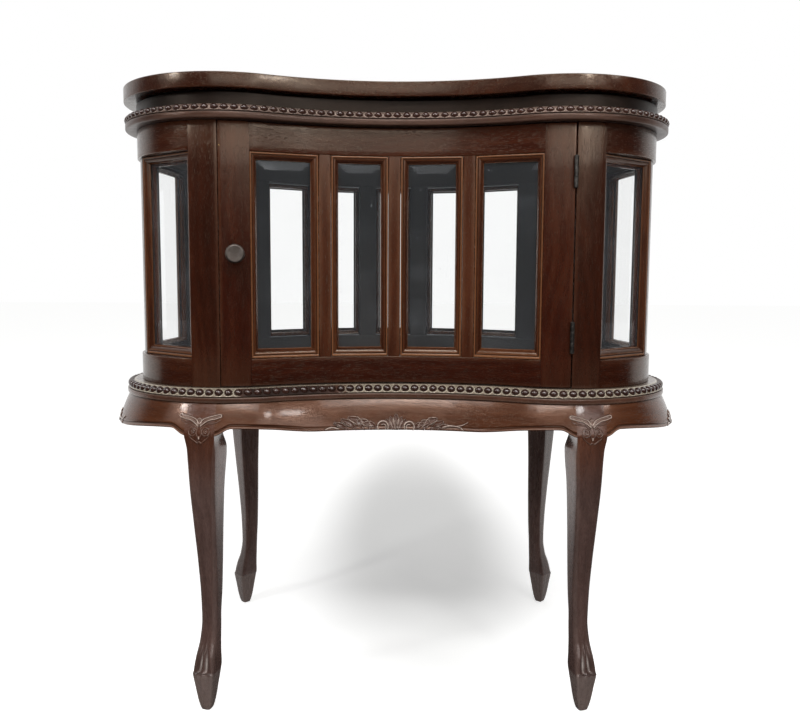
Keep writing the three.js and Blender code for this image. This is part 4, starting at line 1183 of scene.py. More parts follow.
def apron_columns(along, nearest):
    """The apron's section at places along it, and its wear and painted shading: a face that runs down
    to a raised lip with a groove above it, which stand out less between the legs."""
    edge = apron_edge(nearest)
    lip = 0.35 + 0.65 * (1 - smooth((nearest - LIP_FADE_START) / LIP_FADE_RUN))
    columns, wears = [], []
    for part in 1 - np.linspace(1, 0, 40) ** 1.35:
        height = APRON_TOP - part * (APRON_TOP - edge)
        over = height - edge
        raised = lip * (bump_at(over, 1.6, 1.1) - 1.3 * bump_at(over, 4.4, 0.9))
        reach = apron_face(height) + raised - 0.9 * bump_at(over, 0, 0.5)
        columns.append(on_wall(along, reach, height))
        # The lip is rubbed paler, which is also a painted highlight; the groove above it and a line along
        # the apron's top are darkened, a painted shade.
        rubbed_and_shading = 0.5 * lip * bump_at(over, 1.8, 0.8) - 0.9 * bump_at(part, 0, 0.02)
        wears.append(rubbed_and_shading - 0.9 * lip * bump_at(over, 4.3, 0.7))
    columns.append(on_wall(along, apron_face(edge) - 2.6, edge))
    columns.append(on_wall(along, APRON_INNER, edge))
    columns.append(on_wall(along, APRON_INNER, APRON_TOP))
    wears += [np.zeros_like(along)] * 3
    return np.stack(columns, axis=1), np.stack(wears, axis=1)


def aprons():
    """The four apron pieces, each from one leg to the next."""
    made = []
    for i, name in enumerate(("right", "back", "left", "front")):
        _, before, _, before_back, _ = LEGS[i]
        _, after, _, after_back, _ = LEGS[(i + 1) % 4]
        after += WHOLE_WALL if after < before else 0
        start = before + leg_half_run(before_back) + SEAM
        end = after - leg_half_run(after_back) - SEAM
        along = np.linspace(start, end, int((end - start) / APRON_STEP))
        loops, wear = apron_columns(along, np.minimum(along - before, after - along))
        size = loops.shape[1]
        points, faces = skin(loops)
        depth = np.tile(np.linspace(0, 20, size), len(along))
        grain = np.stack([np.repeat(along, size), points[:, 2], depth], axis=-1)
        solid = Solid(points, faces, grain, wear.reshape(-1))
        made.append(piece(f"apron_{name}_moulded", [solid], BASE_WOOD, "cabinet",
                          [f"apron_{name}"], sharp=44))
    return made


# ---- Legs --------------------------------------------------------------------------------------

FRONT_POINTS = 17
FRONT_PARTS = np.linspace(-1, 1, FRONT_POINTS)


def leg_rows():
    """Heights of the leg's sections and, for each, how far back its middle stands from the knee's
    face, its half depth and half width, corner round, toe point, sideways splay and flute depth."""
    foot = [
        (0.0, 27.0, 4.6, 4.6, 1.8, 0.3, 0.0),
        (0.8, 27.0, 5.6, 5.6, 2.0, 0.5, 0.0),
        (2.5, 27.0, 6.3, 6.3, 2.2, 0.6, 0.0),
        (14.85, 27.0, 9.0, 9.0, 2.5, 1.2, 0.0),
        (32.0, 27.0, 11.4, 11.4, 2.8, 1.7, 0.0),
        (47.0, 27.0, 13.5, 13.5, 3.0, 2.0, 0.0),
        (49.5, 27.1, 13.8, 13.8, 3.1, 1.9, 0.0),
        (51.2, 28.6, 13.7, 13.7, 3.6, 1.3, 0.8),
        (55.75, 30.1, 13.9, 13.7, 4.2, 0.9, 1.9),
        (68.9, 32.9, 13.5, 12.5, 5.0, 0.7, 1.7),
        (87.6, 38.9, 11.2, 11.0, 5.4, 0.3, 0.2),
        (ANKLE_LEVEL, ANKLE_BACK, ANKLE_HALF, ANKLE_HALF, ANKLE_ROUND, 0.2, 0.0),
    ]
    rows = [(*row[:6], LEG_SPLAY, row[6]) for row in foot]
    for part in (0.15, 0.35, 0.58, 0.8, 1.0):
        half = ANKLE_HALF + (KNEE_HALF - ANKLE_HALF) * part ** 1.2
        back = ANKLE_BACK + (KNEE_HALF + KNEE_SETBACK - ANKLE_BACK) * float(smooth(part))
        height = ANKLE_LEVEL + (KNEE_LEVEL - ANKLE_LEVEL) * part
        round_ = ANKLE_ROUND + (KNEE_ROUND - ANKLE_ROUND) * part
        point, splay = 0.2 * (1 - part), LEG_SPLAY * (1 - part)
        rows.append((height, back, half, half, round_, point, splay, 0.0))
    return rows


def section_loop(ahead, beside, centre, depth, width, round_, point, flute):
    """A rounded square section with a shaped front, in plan, as points that run round it."""
    plan = []
    core_x, core_y = width - round_, depth - round_
    for u in FRONT_PARTS:
        ridge = point * (1 - abs(u)) ** 1.3
        hollow = flute * 1.7 * math.sin(math.pi * min(abs(u) * 1.15, 1)) ** 2
        plan.append((u * core_x, depth + ridge - hollow))

    def corner(x, y, quarter, turns=(22.5, 45.0, 67.5, 90.0)):
        for turn in turns:
            head = math.radians(turn + 90 * quarter)
            plan.append((x + round_ * math.sin(head), y + round_ * math.cos(head)))

    fourths = (0.25, 0.5, 0.75, 1.0)
    corner(core_x, core_y, 0)
    plan.extend((width, core_y * (1 - 2 * part)) for part in fourths)
    corner(core_x, -core_y, 1)
    plan.extend((core_x * (1 - 2 * part), -depth) for part in (0.33, 0.66, 1.0))
    corner(-core_x, -core_y, 2)
    plan.extend((-width, core_y * (2 * part - 1)) for part in fourths)
    corner(-core_x, core_y, 3, (22.5, 45.0, 67.5))
    return np.array([centre + ahead * y + beside * x for x, y in plan])


def rising(heights, values, at):
    """Monotone cubic through values given at heights, for every coordinate."""
    heights = np.asarray(heights, float)
    shape = (-1, *([1] * (values.ndim - 1)))
    steps = np.diff(heights)
    slopes = np.diff(values, axis=0) / steps.reshape(shape)
    grads = np.empty_like(values)
    grads[0], grads[-1] = slopes[0], slopes[-1]
    w1 = (2 * steps[1:] + steps[:-1]).reshape(shape)
    w2 = (steps[1:] + 2 * steps[:-1]).reshape(shape)
    with np.errstate(divide="ignore", invalid="ignore"):
        mean = (w1 + w2) / (w1 / slopes[:-1] + w2 / slopes[1:])
    grads[1:-1] = np.where(slopes[:-1] * slopes[1:] > 0, mean, 0.0)
    index = np.clip(np.searchsorted(heights, at) - 1, 0, len(steps) - 1)
    t = ((at - heights[index]) / steps[index]).reshape(shape)
    h = steps[index].reshape(shape)
    ends = (2 * t ** 3 - 3 * t ** 2 + 1) * values[index] + (3 * t ** 2 - 2 * t ** 3) * values[index + 1]
    start_slope = (t ** 3 - 2 * t ** 2 + t) * h * grads[index]
    return ends + start_slope + (t ** 3 - t ** 2) * h * grads[index + 1]


def leg_top_loop(place, back, height):
    """The leg's top block in plan, its face in line with the apron's and its corners sharp."""
    half = leg_half_run(back)
    face = float(apron_face(height))
    inner = APRON_REACH - LEG_TOP_DEPTH
    front = [(u * half, face) for u in FRONT_PARTS]
    right = [(half, inner + (face - inner) * p) for p in (1, 0.995, 0.98, 0.95, 0.75, 0.5, 0.25, 0.05)]
    rear_parts = (1, 0.995, 0.98, 0.95, 0.33, 0, -0.33, -0.95, -0.98, -0.995, -1)
    rear = [(half * p, inner) for p in rear_parts]
    left = [(-half, inner + (face - inner) * p) for p in (0.05, 0.25, 0.5, 0.75, 0.95, 0.98, 0.995)]
    plan = np.array(front + right + rear + left)
    return on_wall(place + plan[:, 0], plan[:, 1], height)[:, :2]


def leg_sections(place, back, knee, ahead, beside, outward, levels):
    """Heights and plan sections of the leg, from the foot up through its top block."""
    heights, loops = [], []
    for height, set_back, deep, wide, round_, point, splay, flute in leg_rows():
        centre = knee - ahead * set_back + beside * outward * splay
        heights.append(height)
        loops.append(section_loop(ahead, beside, centre, deep, wide, round_, point, flute))
    for height in levels:
        heights.append(height)
        loops.append(leg_top_loop(place, back, height))
    return heights, np.array(loops)


def leg_wear_and_shading(at, size):
    """Wear and painted shading of the leg: worn corners, painted shade in the crease over the foot,
    painted highlights in the scoops above it with painted shade beside them, and a paler foot, worn
    and with a painted floor sheen.
    """
    wear = np.zeros((len(at), size))
    wear[:, FRONT_POINTS:FRONT_POINTS + 3] = 0.04
    wear[:, -3:] = 0.04
    # Painted shade in the crease over the foot.
    wear[:, :FRONT_POINTS] -= 0.5 * bump_at(at, FOOT_HEIGHT, 1.1)[:, None]
    across = np.abs(FRONT_PARTS)
    # Painted highlights in the two scoops over the foot, painted shade beside them.
    scoops = bump_at(across, 0.4, 0.13) - 0.6 * bump_at(across, 0.85, 0.1)
    wear[:, :FRONT_POINTS] += bump_at(at, INSTEP_LEVEL, 8.5)[:, None] * scoops[None, :]
    # The foot paler: worn, and a painted floor sheen.
    wear[at < 50] += 0.16
    return wear


def leg(name, place, turn_degrees, back, side):
    """A cabriole leg: its knee faces out from the wall, turned to the front or the back."""
    x, y, out_x, out_y = (float(v) for v in wall_line(place))
    knee = np.array([x, y]) + APRON_REACH * np.array([out_x, out_y])
    turn = math.radians(turn_degrees)
    ahead = np.array([side * math.sin(turn), (1 if back else -1) * math.cos(turn)])
    beside = np.array([-ahead[1], ahead[0]])
    outward = (-1 if back else 1) * side
    block_levels = np.concatenate([[EDGE_LEVEL], np.linspace(EDGE_LEVEL + 1.5, APRON_TOP, 26)])
    heights, loops = leg_sections(place, back, knee, ahead, beside, outward, block_levels)
    spans = ((0, 2.5, 6), (2.5, 46, 12), (46, 58, 16), (58, ANKLE_LEVEL, 22),
             (ANKLE_LEVEL, KNEE_LEVEL, 40), (KNEE_LEVEL, EDGE_LEVEL, 14))
    at = np.unique(np.concatenate([np.linspace(*span) for span in spans] + [block_levels]))
    plans = rising(heights, loops, at)
    upright_at = np.broadcast_to(at[:, None, None], (*plans.shape[:2], 1))
    points, faces = skin(np.concatenate([plans, upright_at], axis=2))
    flat = points[:, :2] - knee
    upright = np.stack([points[:, 2], flat @ beside, flat @ ahead], axis=-1)
    level = np.stack([flat @ beside, points[:, 2], flat @ ahead], axis=-1)
    grain = np.where(points[:, 2:] > EDGE_LEVEL, level, upright)
    solid = Solid(points, faces, grain, leg_wear_and_shading(at, plans.shape[1]).reshape(-1))
    return piece(f"leg_{name}_carved", [solid], LEG_WOOD, "cabinet",
                 [f"leg_{name}"], sharp=50)


# ---- Carving -----------------------------------------------------------------------------------

# Heights of a relief where nothing is carved and at the edge of what is, how far its rim and its
# back lie under the surface, and how far out from the wall the surface is looked for.
UNCARVED = -1.0
CARVED_EDGE = -0.9
RIM_SINK = -0.35
BACK_SINK = 1.2
LOOK_FROM = 60


def curve(*knots):
    """Points of a smooth line through knots."""
    knots = np.array(knots, float)
    ends = np.vstack([2 * knots[0] - knots[1], knots, 2 * knots[-1] - knots[-2]])
    line = []
    for i in range(len(knots) - 1):
        a, b, c, d = ends[i:i + 4]
        for t in np.linspace(0, 1, 14, endpoint=False):
            line.append(0.5 * (2 * b + (c - a) * t + (2 * a - 5 * b + 4 * c - d) * t * t
                               + (3 * b - a - 3 * c + d) * t ** 3))
    line.append(knots[-1])
    return np.array(line)


def arc(centre, radius, start, end, tighten=0.0):
    """Points on an arc from one angle to another, its radius shrinking by the part to tighten."""
    turns = np.radians(np.linspace(start, end, 60))
    reach = radius * (1 - tighten * np.linspace(0, 1, 60))
    return np.stack([centre[0] + reach * np.cos(turns), centre[1] + reach * np.sin(turns)], axis=-1)


def stroke(u, v, line, width, height, shape, taper=(0.35, 1.0, 0.5)):
    """Relief of one tool stroke, in height and wear: a leaf with raised rims, or a round ridge,
    plain or faint. The taper is the width's part at the start, at 0.6 of the line and at its end."""
    best = np.full(u.shape, 1e9)
    part = np.zeros(u.shape)
    for (a, b), t in zip(line, np.linspace(0, 1, len(line))):
        share = np.hypot(u - a, v - b) / (width * np.interp(t, (0, 0.6, 1), taper))
        closer = share < best
        best = np.where(closer, share, best)
        part = np.where(closer, t, part)
    inside = best < 1
    if shape == "leaf":
        body = height * (0.5 + 0.5 * best ** 2) * (0.55 + 0.45 * part)
        # A leaf's rims are worn paler; its hollow middle is a little darker, a painted shade.
        worn = np.clip((best - 0.78) / 0.16, 0, 1) * (0.5 + 0.5 * part) - 0.05 * (1 - best)
    else:
        body = height * np.sqrt(np.clip(1 - best ** 2, 0, 1))
        worn = np.clip(1 - best * 1.5, 0, 1) * (0.15 if shape == "faint" else 1.0)
    return np.where(inside, body, UNCARVED), np.where(inside, worn, 0.0)


def relief_of(strokes, u, v):
    """Height and wear of the highest stroke at each place."""
    relief = np.full(u.shape, UNCARVED)
    wear = np.zeros(u.shape)
    for item in strokes:
        height, worn = stroke(u, v, *item)
        higher = height > relief
        relief = np.where(higher, height, relief)
        wear = np.where(higher, worn, wear)
    return relief, wear


def spray_strokes(depth):
    """The spray on the apron: a shell leaf between scrolls, acanthus on both sides, a sprig."""
    leaf = lambda knots, width: (curve(*knots), width, depth, "leaf")
    ridge = lambda line, width, low=0.85: (line, width, depth * low, "ridge", (0.8, 1.0, 0.7))
    return [
        leaf([(0, 0), (0, 9), (0, 16.5)], 4.0),
        leaf([(-2, 0), (-4.5, 8), (-6.8, 13.6)], 3.2),
        leaf([(2, 0), (4.5, 8), (6.8, 13.6)], 3.2),
        leaf([(-4, 0), (-7.5, 6), (-11.6, 11.4)], 2.5),
        leaf([(4, 0), (7.5, 6), (11.6, 11.4)], 2.5),
        ridge(curve((0, 1), (0, 7), (0, 12)), 0.7, 1.15),
        ridge(arc((-16.4, 3.6), 6.6, 215, -35), 1.25, 0.95),
        ridge(arc((-15.6, 3.0), 3.4, 130, -50), 0.9, 0.8),
        ridge(arc((16.6, 3.4), 6.2, -40, 205), 1.25, 0.95),
        ridge(arc((15.8, 2.6), 3.3, 60, 240), 0.9, 0.8),
        leaf([(-24, 1), (-30, 6.5), (-37.5, 8.2)], 3.0),
        leaf([(-31, 0.5), (-37, 8.0), (-46, 10.8)], 4.0),
        leaf([(-40, 0.5), (-47, 10.0), (-57.5, 14.0)], 4.6),
        leaf([(-50, 0.5), (-57, 7.5), (-66.5, 11.6)], 4.0),
        leaf([(-60, 0.3), (-67, 5.0), (-76, 8.2)], 3.2),
        ridge(curve((-72, 1.6), (-80, 3.6), (-88, 1.4)), 1.3, 0.7),
        leaf([(22, 1), (27, 5.5), (33, 7.6)], 2.8),
        leaf([(27, 0.5), (33, 7.5), (40, 10.4)], 3.6),
        leaf([(34, 0.5), (41, 9.5), (49, 13)], 4.2),
        leaf([(43, 0.5), (50, 6.8), (57.6, 9.6)], 3.6),
        leaf([(50, 0.5), (58, 4.4), (65, 5.4)], 2.8),
        ridge(curve((58, 3.6), (66, 5.6), (75, 5.2)), 1.2, 0.8),
        ridge(curve((74, 5.2), (82, 6.6), (89, 10.2)), 0.9, 0.7),
        ridge(curve((75, 5.2), (80, 3.8), (84, 0.9)), 0.9, 0.7),
    ]


def knee_strokes(depth):
    """The knee: a bud between two upswept wings, two ring volutes, a low border and a diamond."""
    even, wing = (1.0, 1.0, 1.0), (0.9, 1.0, 0.9)
    ridge = lambda line, width, low=1.0, taper=even: (line, width, depth * low, "ridge", taper)
    faint = lambda line, width, low=0.45, taper=even: (line, width, depth * low, "faint", taper)
    strokes = []
    for side in (-1, 1):
        flip = lambda *knots: curve(*[(side * a, b) for a, b in knots])
        eye = (side * 8.0, -5.8)
        upper_wing = flip((0.8, 3.4), (4.5, 8.2), (10, 10.6), (17, 12.4), (24.5, 14.2))
        wing_tip = flip((24.5, 14.2), (26.8, 13.4), (27.0, 11.6), (25.6, 10.6))
        lower_wing = flip((1.6, 0.6), (6.5, 4.6), (12, 7.6), (18.5, 8.8), (25.6, 10.6))
        wing_fill = flip((3, 3.5), (9, 8.0), (16, 10.4), (24, 12))
        under_wing = flip((3.4, -1.0), (8, 2.2), (13.5, 3.6), (20, 4.6), (25, 7.4))
        outer_ring = arc(eye, 4.8, 90 - side * 90, 90 + side * 270)
        inner_ring = arc(eye, 2.6, 90 - side * 20, 90 + side * 300, 0.5)
        border = flip((12.8, -7), (11, -12.5), (6.5, -16.5), (1.5, -20))
        bud = flip((0.3, 9.8), (2.3, 8.2), (2.6, 5.2), (1.5, 1.4))
        strokes += [
            ridge(upper_wing, 0.95, 1.0, wing),
            ridge(wing_tip, 0.95, 0.9),
            ridge(lower_wing, 0.95, 0.9, wing),
            faint(wing_fill, 2.4, 0.4),
            faint(under_wing, 0.8),
            faint(outer_ring, 0.75, 0.5),
            faint(inner_ring, 0.65),
            faint(curve(eye, (side * 8.1, -5.7)), 1.2, 0.5),
            faint(flip((2, -1), (3, -8), (1, -13)), 0.8),
            faint(border, 0.75),
            faint(flip((0, -18.0), (3.4, -19.5)), 0.7, 0.4),
            ridge(bud, 0.6),
        ]
    strokes.append(faint(curve((0, 1.0), (0, 5.0), (0, 8.6)), 2.4, 0.85, (0.35, 0.9, 1.0)))
    strokes.append(ridge(curve((0, -12.0), (0, -14.4)), 1.5, 0.6, (0.8, 1.0, 0.7)))
    return strokes


def signed_radius(place):
    """Radius of the wall's arc at a place that carries a carving, below 0 in the hollow bay."""
    if place == 0:
        return -BAY_RADIUS
    on_lobe = place < LOBE_END or place > WHOLE_WALL - LOBE_END
    return LOBE_RADIUS if on_lobe else BACK_RADIUS


def laid_on(surface, place, us, heights, relief, limit):
    """Front and back points of a relief on the surface behind it, and where there are any. No
    raised point stands further out from the wall than the limit."""
    points = np.zeros((*relief.shape, 3))
    backs = np.zeros_like(points)
    found = np.zeros(relief.shape, bool)
    radius = signed_radius(place)
    scale = radius / (radius + APRON_GROUND)
    for i, beside in enumerate(us):
        px, py, ox, oy = (float(value) for value in wall_line(place + beside * scale))
        outward = Vector((ox, oy, 0.0))
        start_x, start_y = (px + LOOK_FROM * ox) / 1000, (py + LOOK_FROM * oy) / 1000
        for j, height in enumerate(heights):
            if not near_relief(relief, i, j):
                continue
            hit, normal, _, _ = surface.ray_cast(Vector((start_x, start_y, height / 1000)), -outward)
            if hit is None:
                continue
            out = outward * 0.75 + normal * 0.25
            out.normalize()
            front = hit * 1000 + out * max(relief[i, j], RIM_SINK)
            reach = (front.x - px) * ox + (front.y - py) * oy
            if relief[i, j] > 0 and reach > limit:
                front -= outward * (reach - limit)
            points[i, j] = front
            backs[i, j] = hit * 1000 - out * BACK_SINK
            found[i, j] = True
    return points, backs, found


def relief_faces(relief, found):
    """Faces of a closed relief: its fronts, its backs, numbered after them, and the walls between."""
    count = int(found.sum())
    index = np.full(relief.shape, -1)
    index[found] = np.arange(count)
    faces, rim = [], {}
    for i in range(relief.shape[0] - 1):
        for j in range(relief.shape[1] - 1):
            spots = ((i, j), (i + 1, j), (i + 1, j + 1), (i, j + 1))
            corners = [index[spot] for spot in spots]
            if min(corners) < 0 or max(relief[spot] for spot in spots) <= CARVED_EDGE:
                continue
            faces.append(corners)
            for a, b in zip(corners, corners[1:] + corners[:1]):
                if (b, a) in rim:
                    del rim[(b, a)]
                else:
                    rim[(a, b)] = True
    backs = [[corner + count for corner in face[::-1]] for face in faces]
    walls = [[b, a, a + count, b + count] for a, b in rim]
    return faces + backs + walls


def carving(name, surface, place, level, spans, strokes, limit, pitch=0.45, rubbed_and_shading=1.0):
    """Relief laid on the surface behind it: strokes in mm beside and above a place on the wall."""
    (left, right), (low, high) = spans
    us = np.arange(left, right + pitch, pitch)
    vs = np.arange(low, high + pitch, pitch)
    u, v = np.meshgrid(us, vs, indexing="ij")
    relief, wear = relief_of(strokes, u, v)
    points, backs, found = laid_on(surface, place, us, level + vs, relief, limit)
    faces = relief_faces(relief, found)
    used = sorted({corner for face in faces for corner in face})
    renumber = {old: new for new, old in enumerate(used)}
    faces = [[renumber[corner] for corner in face] for face in faces]

    def kept(fronts, behind):
        return np.concatenate([fronts[found], behind[found]])[used]

    points = kept(points, backs)
    worn = kept(wear, np.zeros_like(wear)) * rubbed_and_shading
    height = kept(relief, np.full_like(relief, UNCARVED))
    # Low and sunk parts of a relief are darkened: painted shade in its hollows and round its edges.
    worn -= np.clip(0.3 - height, 0, 0.6) * 1.1
    grain = np.stack([kept(u, u) + place, points[:, 2], np.zeros(len(points))], axis=-1)
    solid = Solid(points, faces, grain, worn)
    return piece(name, [solid], CARVED_WOOD, "cabinet", sharp=60)


def near_relief(relief, i, j):
    """Whether a stroke reaches a place or one of its neighbours."""
    patch = relief[max(i - 1, 0):i + 2, max(j - 1, 0):j + 2]
    return patch.max() > CARVED_EDGE


def carvings(ground):
    """The four sprays on the apron and the four knees, cut on the pieces behind them."""
    verts, faces = [], []
    for made in ground:
        start = len(verts)
        verts.extend([tuple(vertex.co) for vertex in made.data.vertices])
        faces.extend([[start + corner for corner in polygon.vertices] for polygon in made.data.polygons])
    surface = BVHTree.FromPolygons(verts, faces)
    spray, knee = ((-91, 91), (-1.2, 22)), ((-29.5, 29.5), (-21.5, 16))
    places = {"front": 0.0, "right": LOBE_SIDE, "back": HALF_WALL, "left": WHOLE_WALL - LOBE_SIDE}
    for name, place in places.items():
        in_front = name == "front"
        strokes = spray_strokes(FRONT_SPRAY_DEPTH if in_front else SIDE_SPRAY_DEPTH)
        limit = FRONT_SPRAY_LIMIT if in_front else SIDE_SPRAY_LIMIT
        carving(f"apron_spray_{name}", surface, place, EDGE_LEVEL + 1.0, spray, strokes, limit)
    strokes = knee_strokes(KNEE_CARVING_DEPTH)
    for name, place, _, _, _ in LEGS:
        carving(f"knee_carving_{name}", surface, place, KNEE_CARVING_LEVEL, knee, strokes,
                KNEE_CARVING_LIMIT, 0.4, 0.85)


# ---- Knob, hinges and catch --------------------------------------------------------------------


def wall_matrix(along, height):
    """The frame that stands on the wall: x along it, y into the cabinet, z up. Metres."""
    x, y, out_x, out_y = (float(value) for value in wall_line(along))
    turn = Matrix.Rotation(math.atan2(out_x, -out_y), 4, "Z")
    return Matrix.Translation((x / 1000, y / 1000, height / 1000)) @ turn


def placed(shape, matrix):
    """A shape's points and faces as a solid that stands on the wall."""
    points, faces = shape
    return Solid(at_place(points, matrix), faces)


def at_place(points, matrix):
    """Points in mm, turned and moved by a matrix in metres."""
    turned = np.array(matrix.to_3x3())
    shift = np.array(matrix.translation) * 1000
    return np.asarray(points, float) @ turned.T + shift


def ring(radius, count):
    """Evenly spaced points on a circle, as two rows."""
    angles = np.linspace(0, 2 * math.pi, count, endpoint=False)
    return radius * np.cos(angles), radius * np.sin(angles)


def turned_solid(profile, count):
    """A body turned on the y axis, its outer end towards -y. The profile is radius and height."""
    loops = []
    for radius, height in profile:
        x, z = ring(radius, count)
        loops.append(np.stack([x, np.full(count, -height), z], axis=-1))
    return skin(np.array(loops))


def round_bar(radius, low, high):
    """An upright bar with eased ends, in line with the hinge's pin."""
    count, ease = 36, 0.2
    slight = 0.3 * ease
    rows = [(radius * 0.3, low), (radius - ease, low), (radius - slight, low + slight)]
    rows += [(radius, low + ease), (radius, high - ease)]
    rows += [(radius - slight, high - slight), (radius - ease, high), (radius * 0.3, high)]
    loops = []
    for inner, height in rows:
        x, y = ring(inner, count)
        loops.append(np.stack([x, y - PIN_PROUD, np.full(count, height)], axis=-1))
    return skin(np.array(loops))


def knob():
    """The turned pull: a shank, a flat rose, a waisted neck and a rounded, slightly dished head."""
    profile = [
        (0.4, -SHANK_LENGTH), (1.8, -SHANK_LENGTH), (2.0, 0.3 - SHANK_LENGTH), (2.0, GAP),
        (7.2, GAP), (7.5, GAP + 0.3), (7.45, 1.6), (7.0, 2.3), (5.6, 2.9),
        (4.7, 3.7), (4.3, 4.8), (4.2, 6.2), (4.4, 7.6), (5.2, 9.2),
        (6.8, 11.0), (8.6, 12.4), (10.2, 13.6), (11.2, 14.8), (11.5, 16.0), (11.5, 17.2),
        (11.3, 18.2), (10.9, 19.1), (10.3, 19.7), (9.6, 20.0), (8.9, 20.0),
        (7.6, 19.9), (5.4, 19.8), (2.8, 19.72), (0.5, 19.7),
    ]
    solid = placed(turned_solid(profile, 64), wall_matrix(-KNOB_PLACE, KNOB_HEIGHT))
    piece("knob_turned", [solid], KNOB_BRONZE, "door", ["knob"], sharp=50)


def hinge_leaf(side):
    """A leaf of a butt hinge: side 1 on the post, with two knuckles, and -1 on the door, with one."""
    half, third = HINGE_LENGTH / 2, HINGE_LENGTH / 6
    near, far = sorted((side * LEAF_GAP, side * (LEAF_GAP + LEAF_THICKNESS)))
    shapes = [block((near, -3.0, -half), (far, HINGE_LEAF_WIDTH, half), 0.25, (1, 4, 4))]
    inner, outer = third - KNUCKLE_GAP / 2, third + KNUCKLE_GAP / 2
    for low, high in [(-half, -outer), (outer, half)] if side > 0 else [(-inner, inner)]:
        shapes.append(round_bar(KNUCKLE_RADIUS, low, high))
        shapes.append(block((near, -PIN_PROUD, low), (far, 0, high), 0.2))
    return shapes


def hinges(screws):
    """Two butt hinges. Adds the places and directions of their screws, by body."""
    along = DOOR_WIDTH / 2 + DOOR_GAP / 2 - HINGE_SET
    for name, height in (("upper", UPPER_HINGE), ("lower", LOWER_HINGE)):
        at = wall_matrix(along, height)
        for side, label, body in ((1, "post", "cabinet"), (-1, "door", "door")):
            solids = [placed(shape, at) for shape in hinge_leaf(side)]
            node = f"hinge_{label}_leaf_{name}"
            piece(f"{node}_rolled", solids, HINGE_STEEL, body, [node], sharp=20)
            spots = [(side * (LEAF_GAP + 0.02), depth, up) for depth, up in LEAF_SCREWS]
            add_screws(screws[body], spots, (-side, 0, 0), at)


def add_screws(kept, spots, facing, matrix):
    """Adds the places of screws on a fitting, and the way that they all face, to a body's own."""
    kept[0].extend(at_place(spots, matrix))
    kept[1].extend([np.array(matrix.to_3x3() @ Vector(facing))] * len(spots))


def catch(screws):
    """A magnetic catch under the case top and the strike plate that meets it on the door."""
    at = wall_matrix(-CATCH_PLACE, 0)
    top = CASE_TOP_LOW - GAP
    low = top - CATCH_HEIGHT
    strike_face = DOOR_THICKNESS + STRIKE_SET + STRIKE_THICKNESS
    face = strike_face + GAP
    shapes = [block((-12, face + 1.2, low), (12, face + 13, top), 0.8, (4, 2, 2))]
    for drop in (3.0, 8.4):
        shapes.append(block((-9, face, top - drop - 2.2), (9, face + 2.0, top - drop), 0.3))
    solids = [placed(shape, at) for shape in shapes]
    piece("magnetic_catch_block", solids, CATCH_STEEL, "cabinet", ["magnetic_catch"])
    corners = (-7, DOOR_THICKNESS + STRIKE_SET, low), (7, strike_face, DOOR_HIGH - 2)
    strike = placed(block(*corners, 0.3, (2, 1, 2)), at)
    piece("strike_plate_pressed", [strike], CATCH_STEEL, "door", ["strike_plate"])
    add_screws(screws["door"], [(0, strike_face - 0.02, top - CATCH_HEIGHT / 2)], (0, 1, 0), at)


def hardware():
    """The pull, the hinges and the catch, then all their screws, body by body, and the edge pin."""
    knob()
    screws = {"cabinet": ([], []), "door": ([], [])}
    hinges(screws)
    catch(screws)
    tree = screw_tree()
    values = {"Head Radius": 0.0024, "Proud": 0.00012, "Seed": 11, "Finish": SCREW_BRASS}
    for body, (points, facing) in screws.items():
        base = facing_mesh(f"{body}_screws", points, [], facing)
        grown_piece(f"{body}_screws", base, tree, values, body)
    profile = [(0.3, -3), (0.9, -3), (0.9, 0.1), (0.6, 0.35), (0.2, 0.42)]
    at = wall_matrix(EDGE_PIN_INSET - DOOR_WIDTH / 2, EDGE_PIN_HEIGHT)
    pin = placed(turned_solid(profile, 20), at)
    piece("door_edge_pin", [pin], PIN_BRASS, "door", sharp=60)


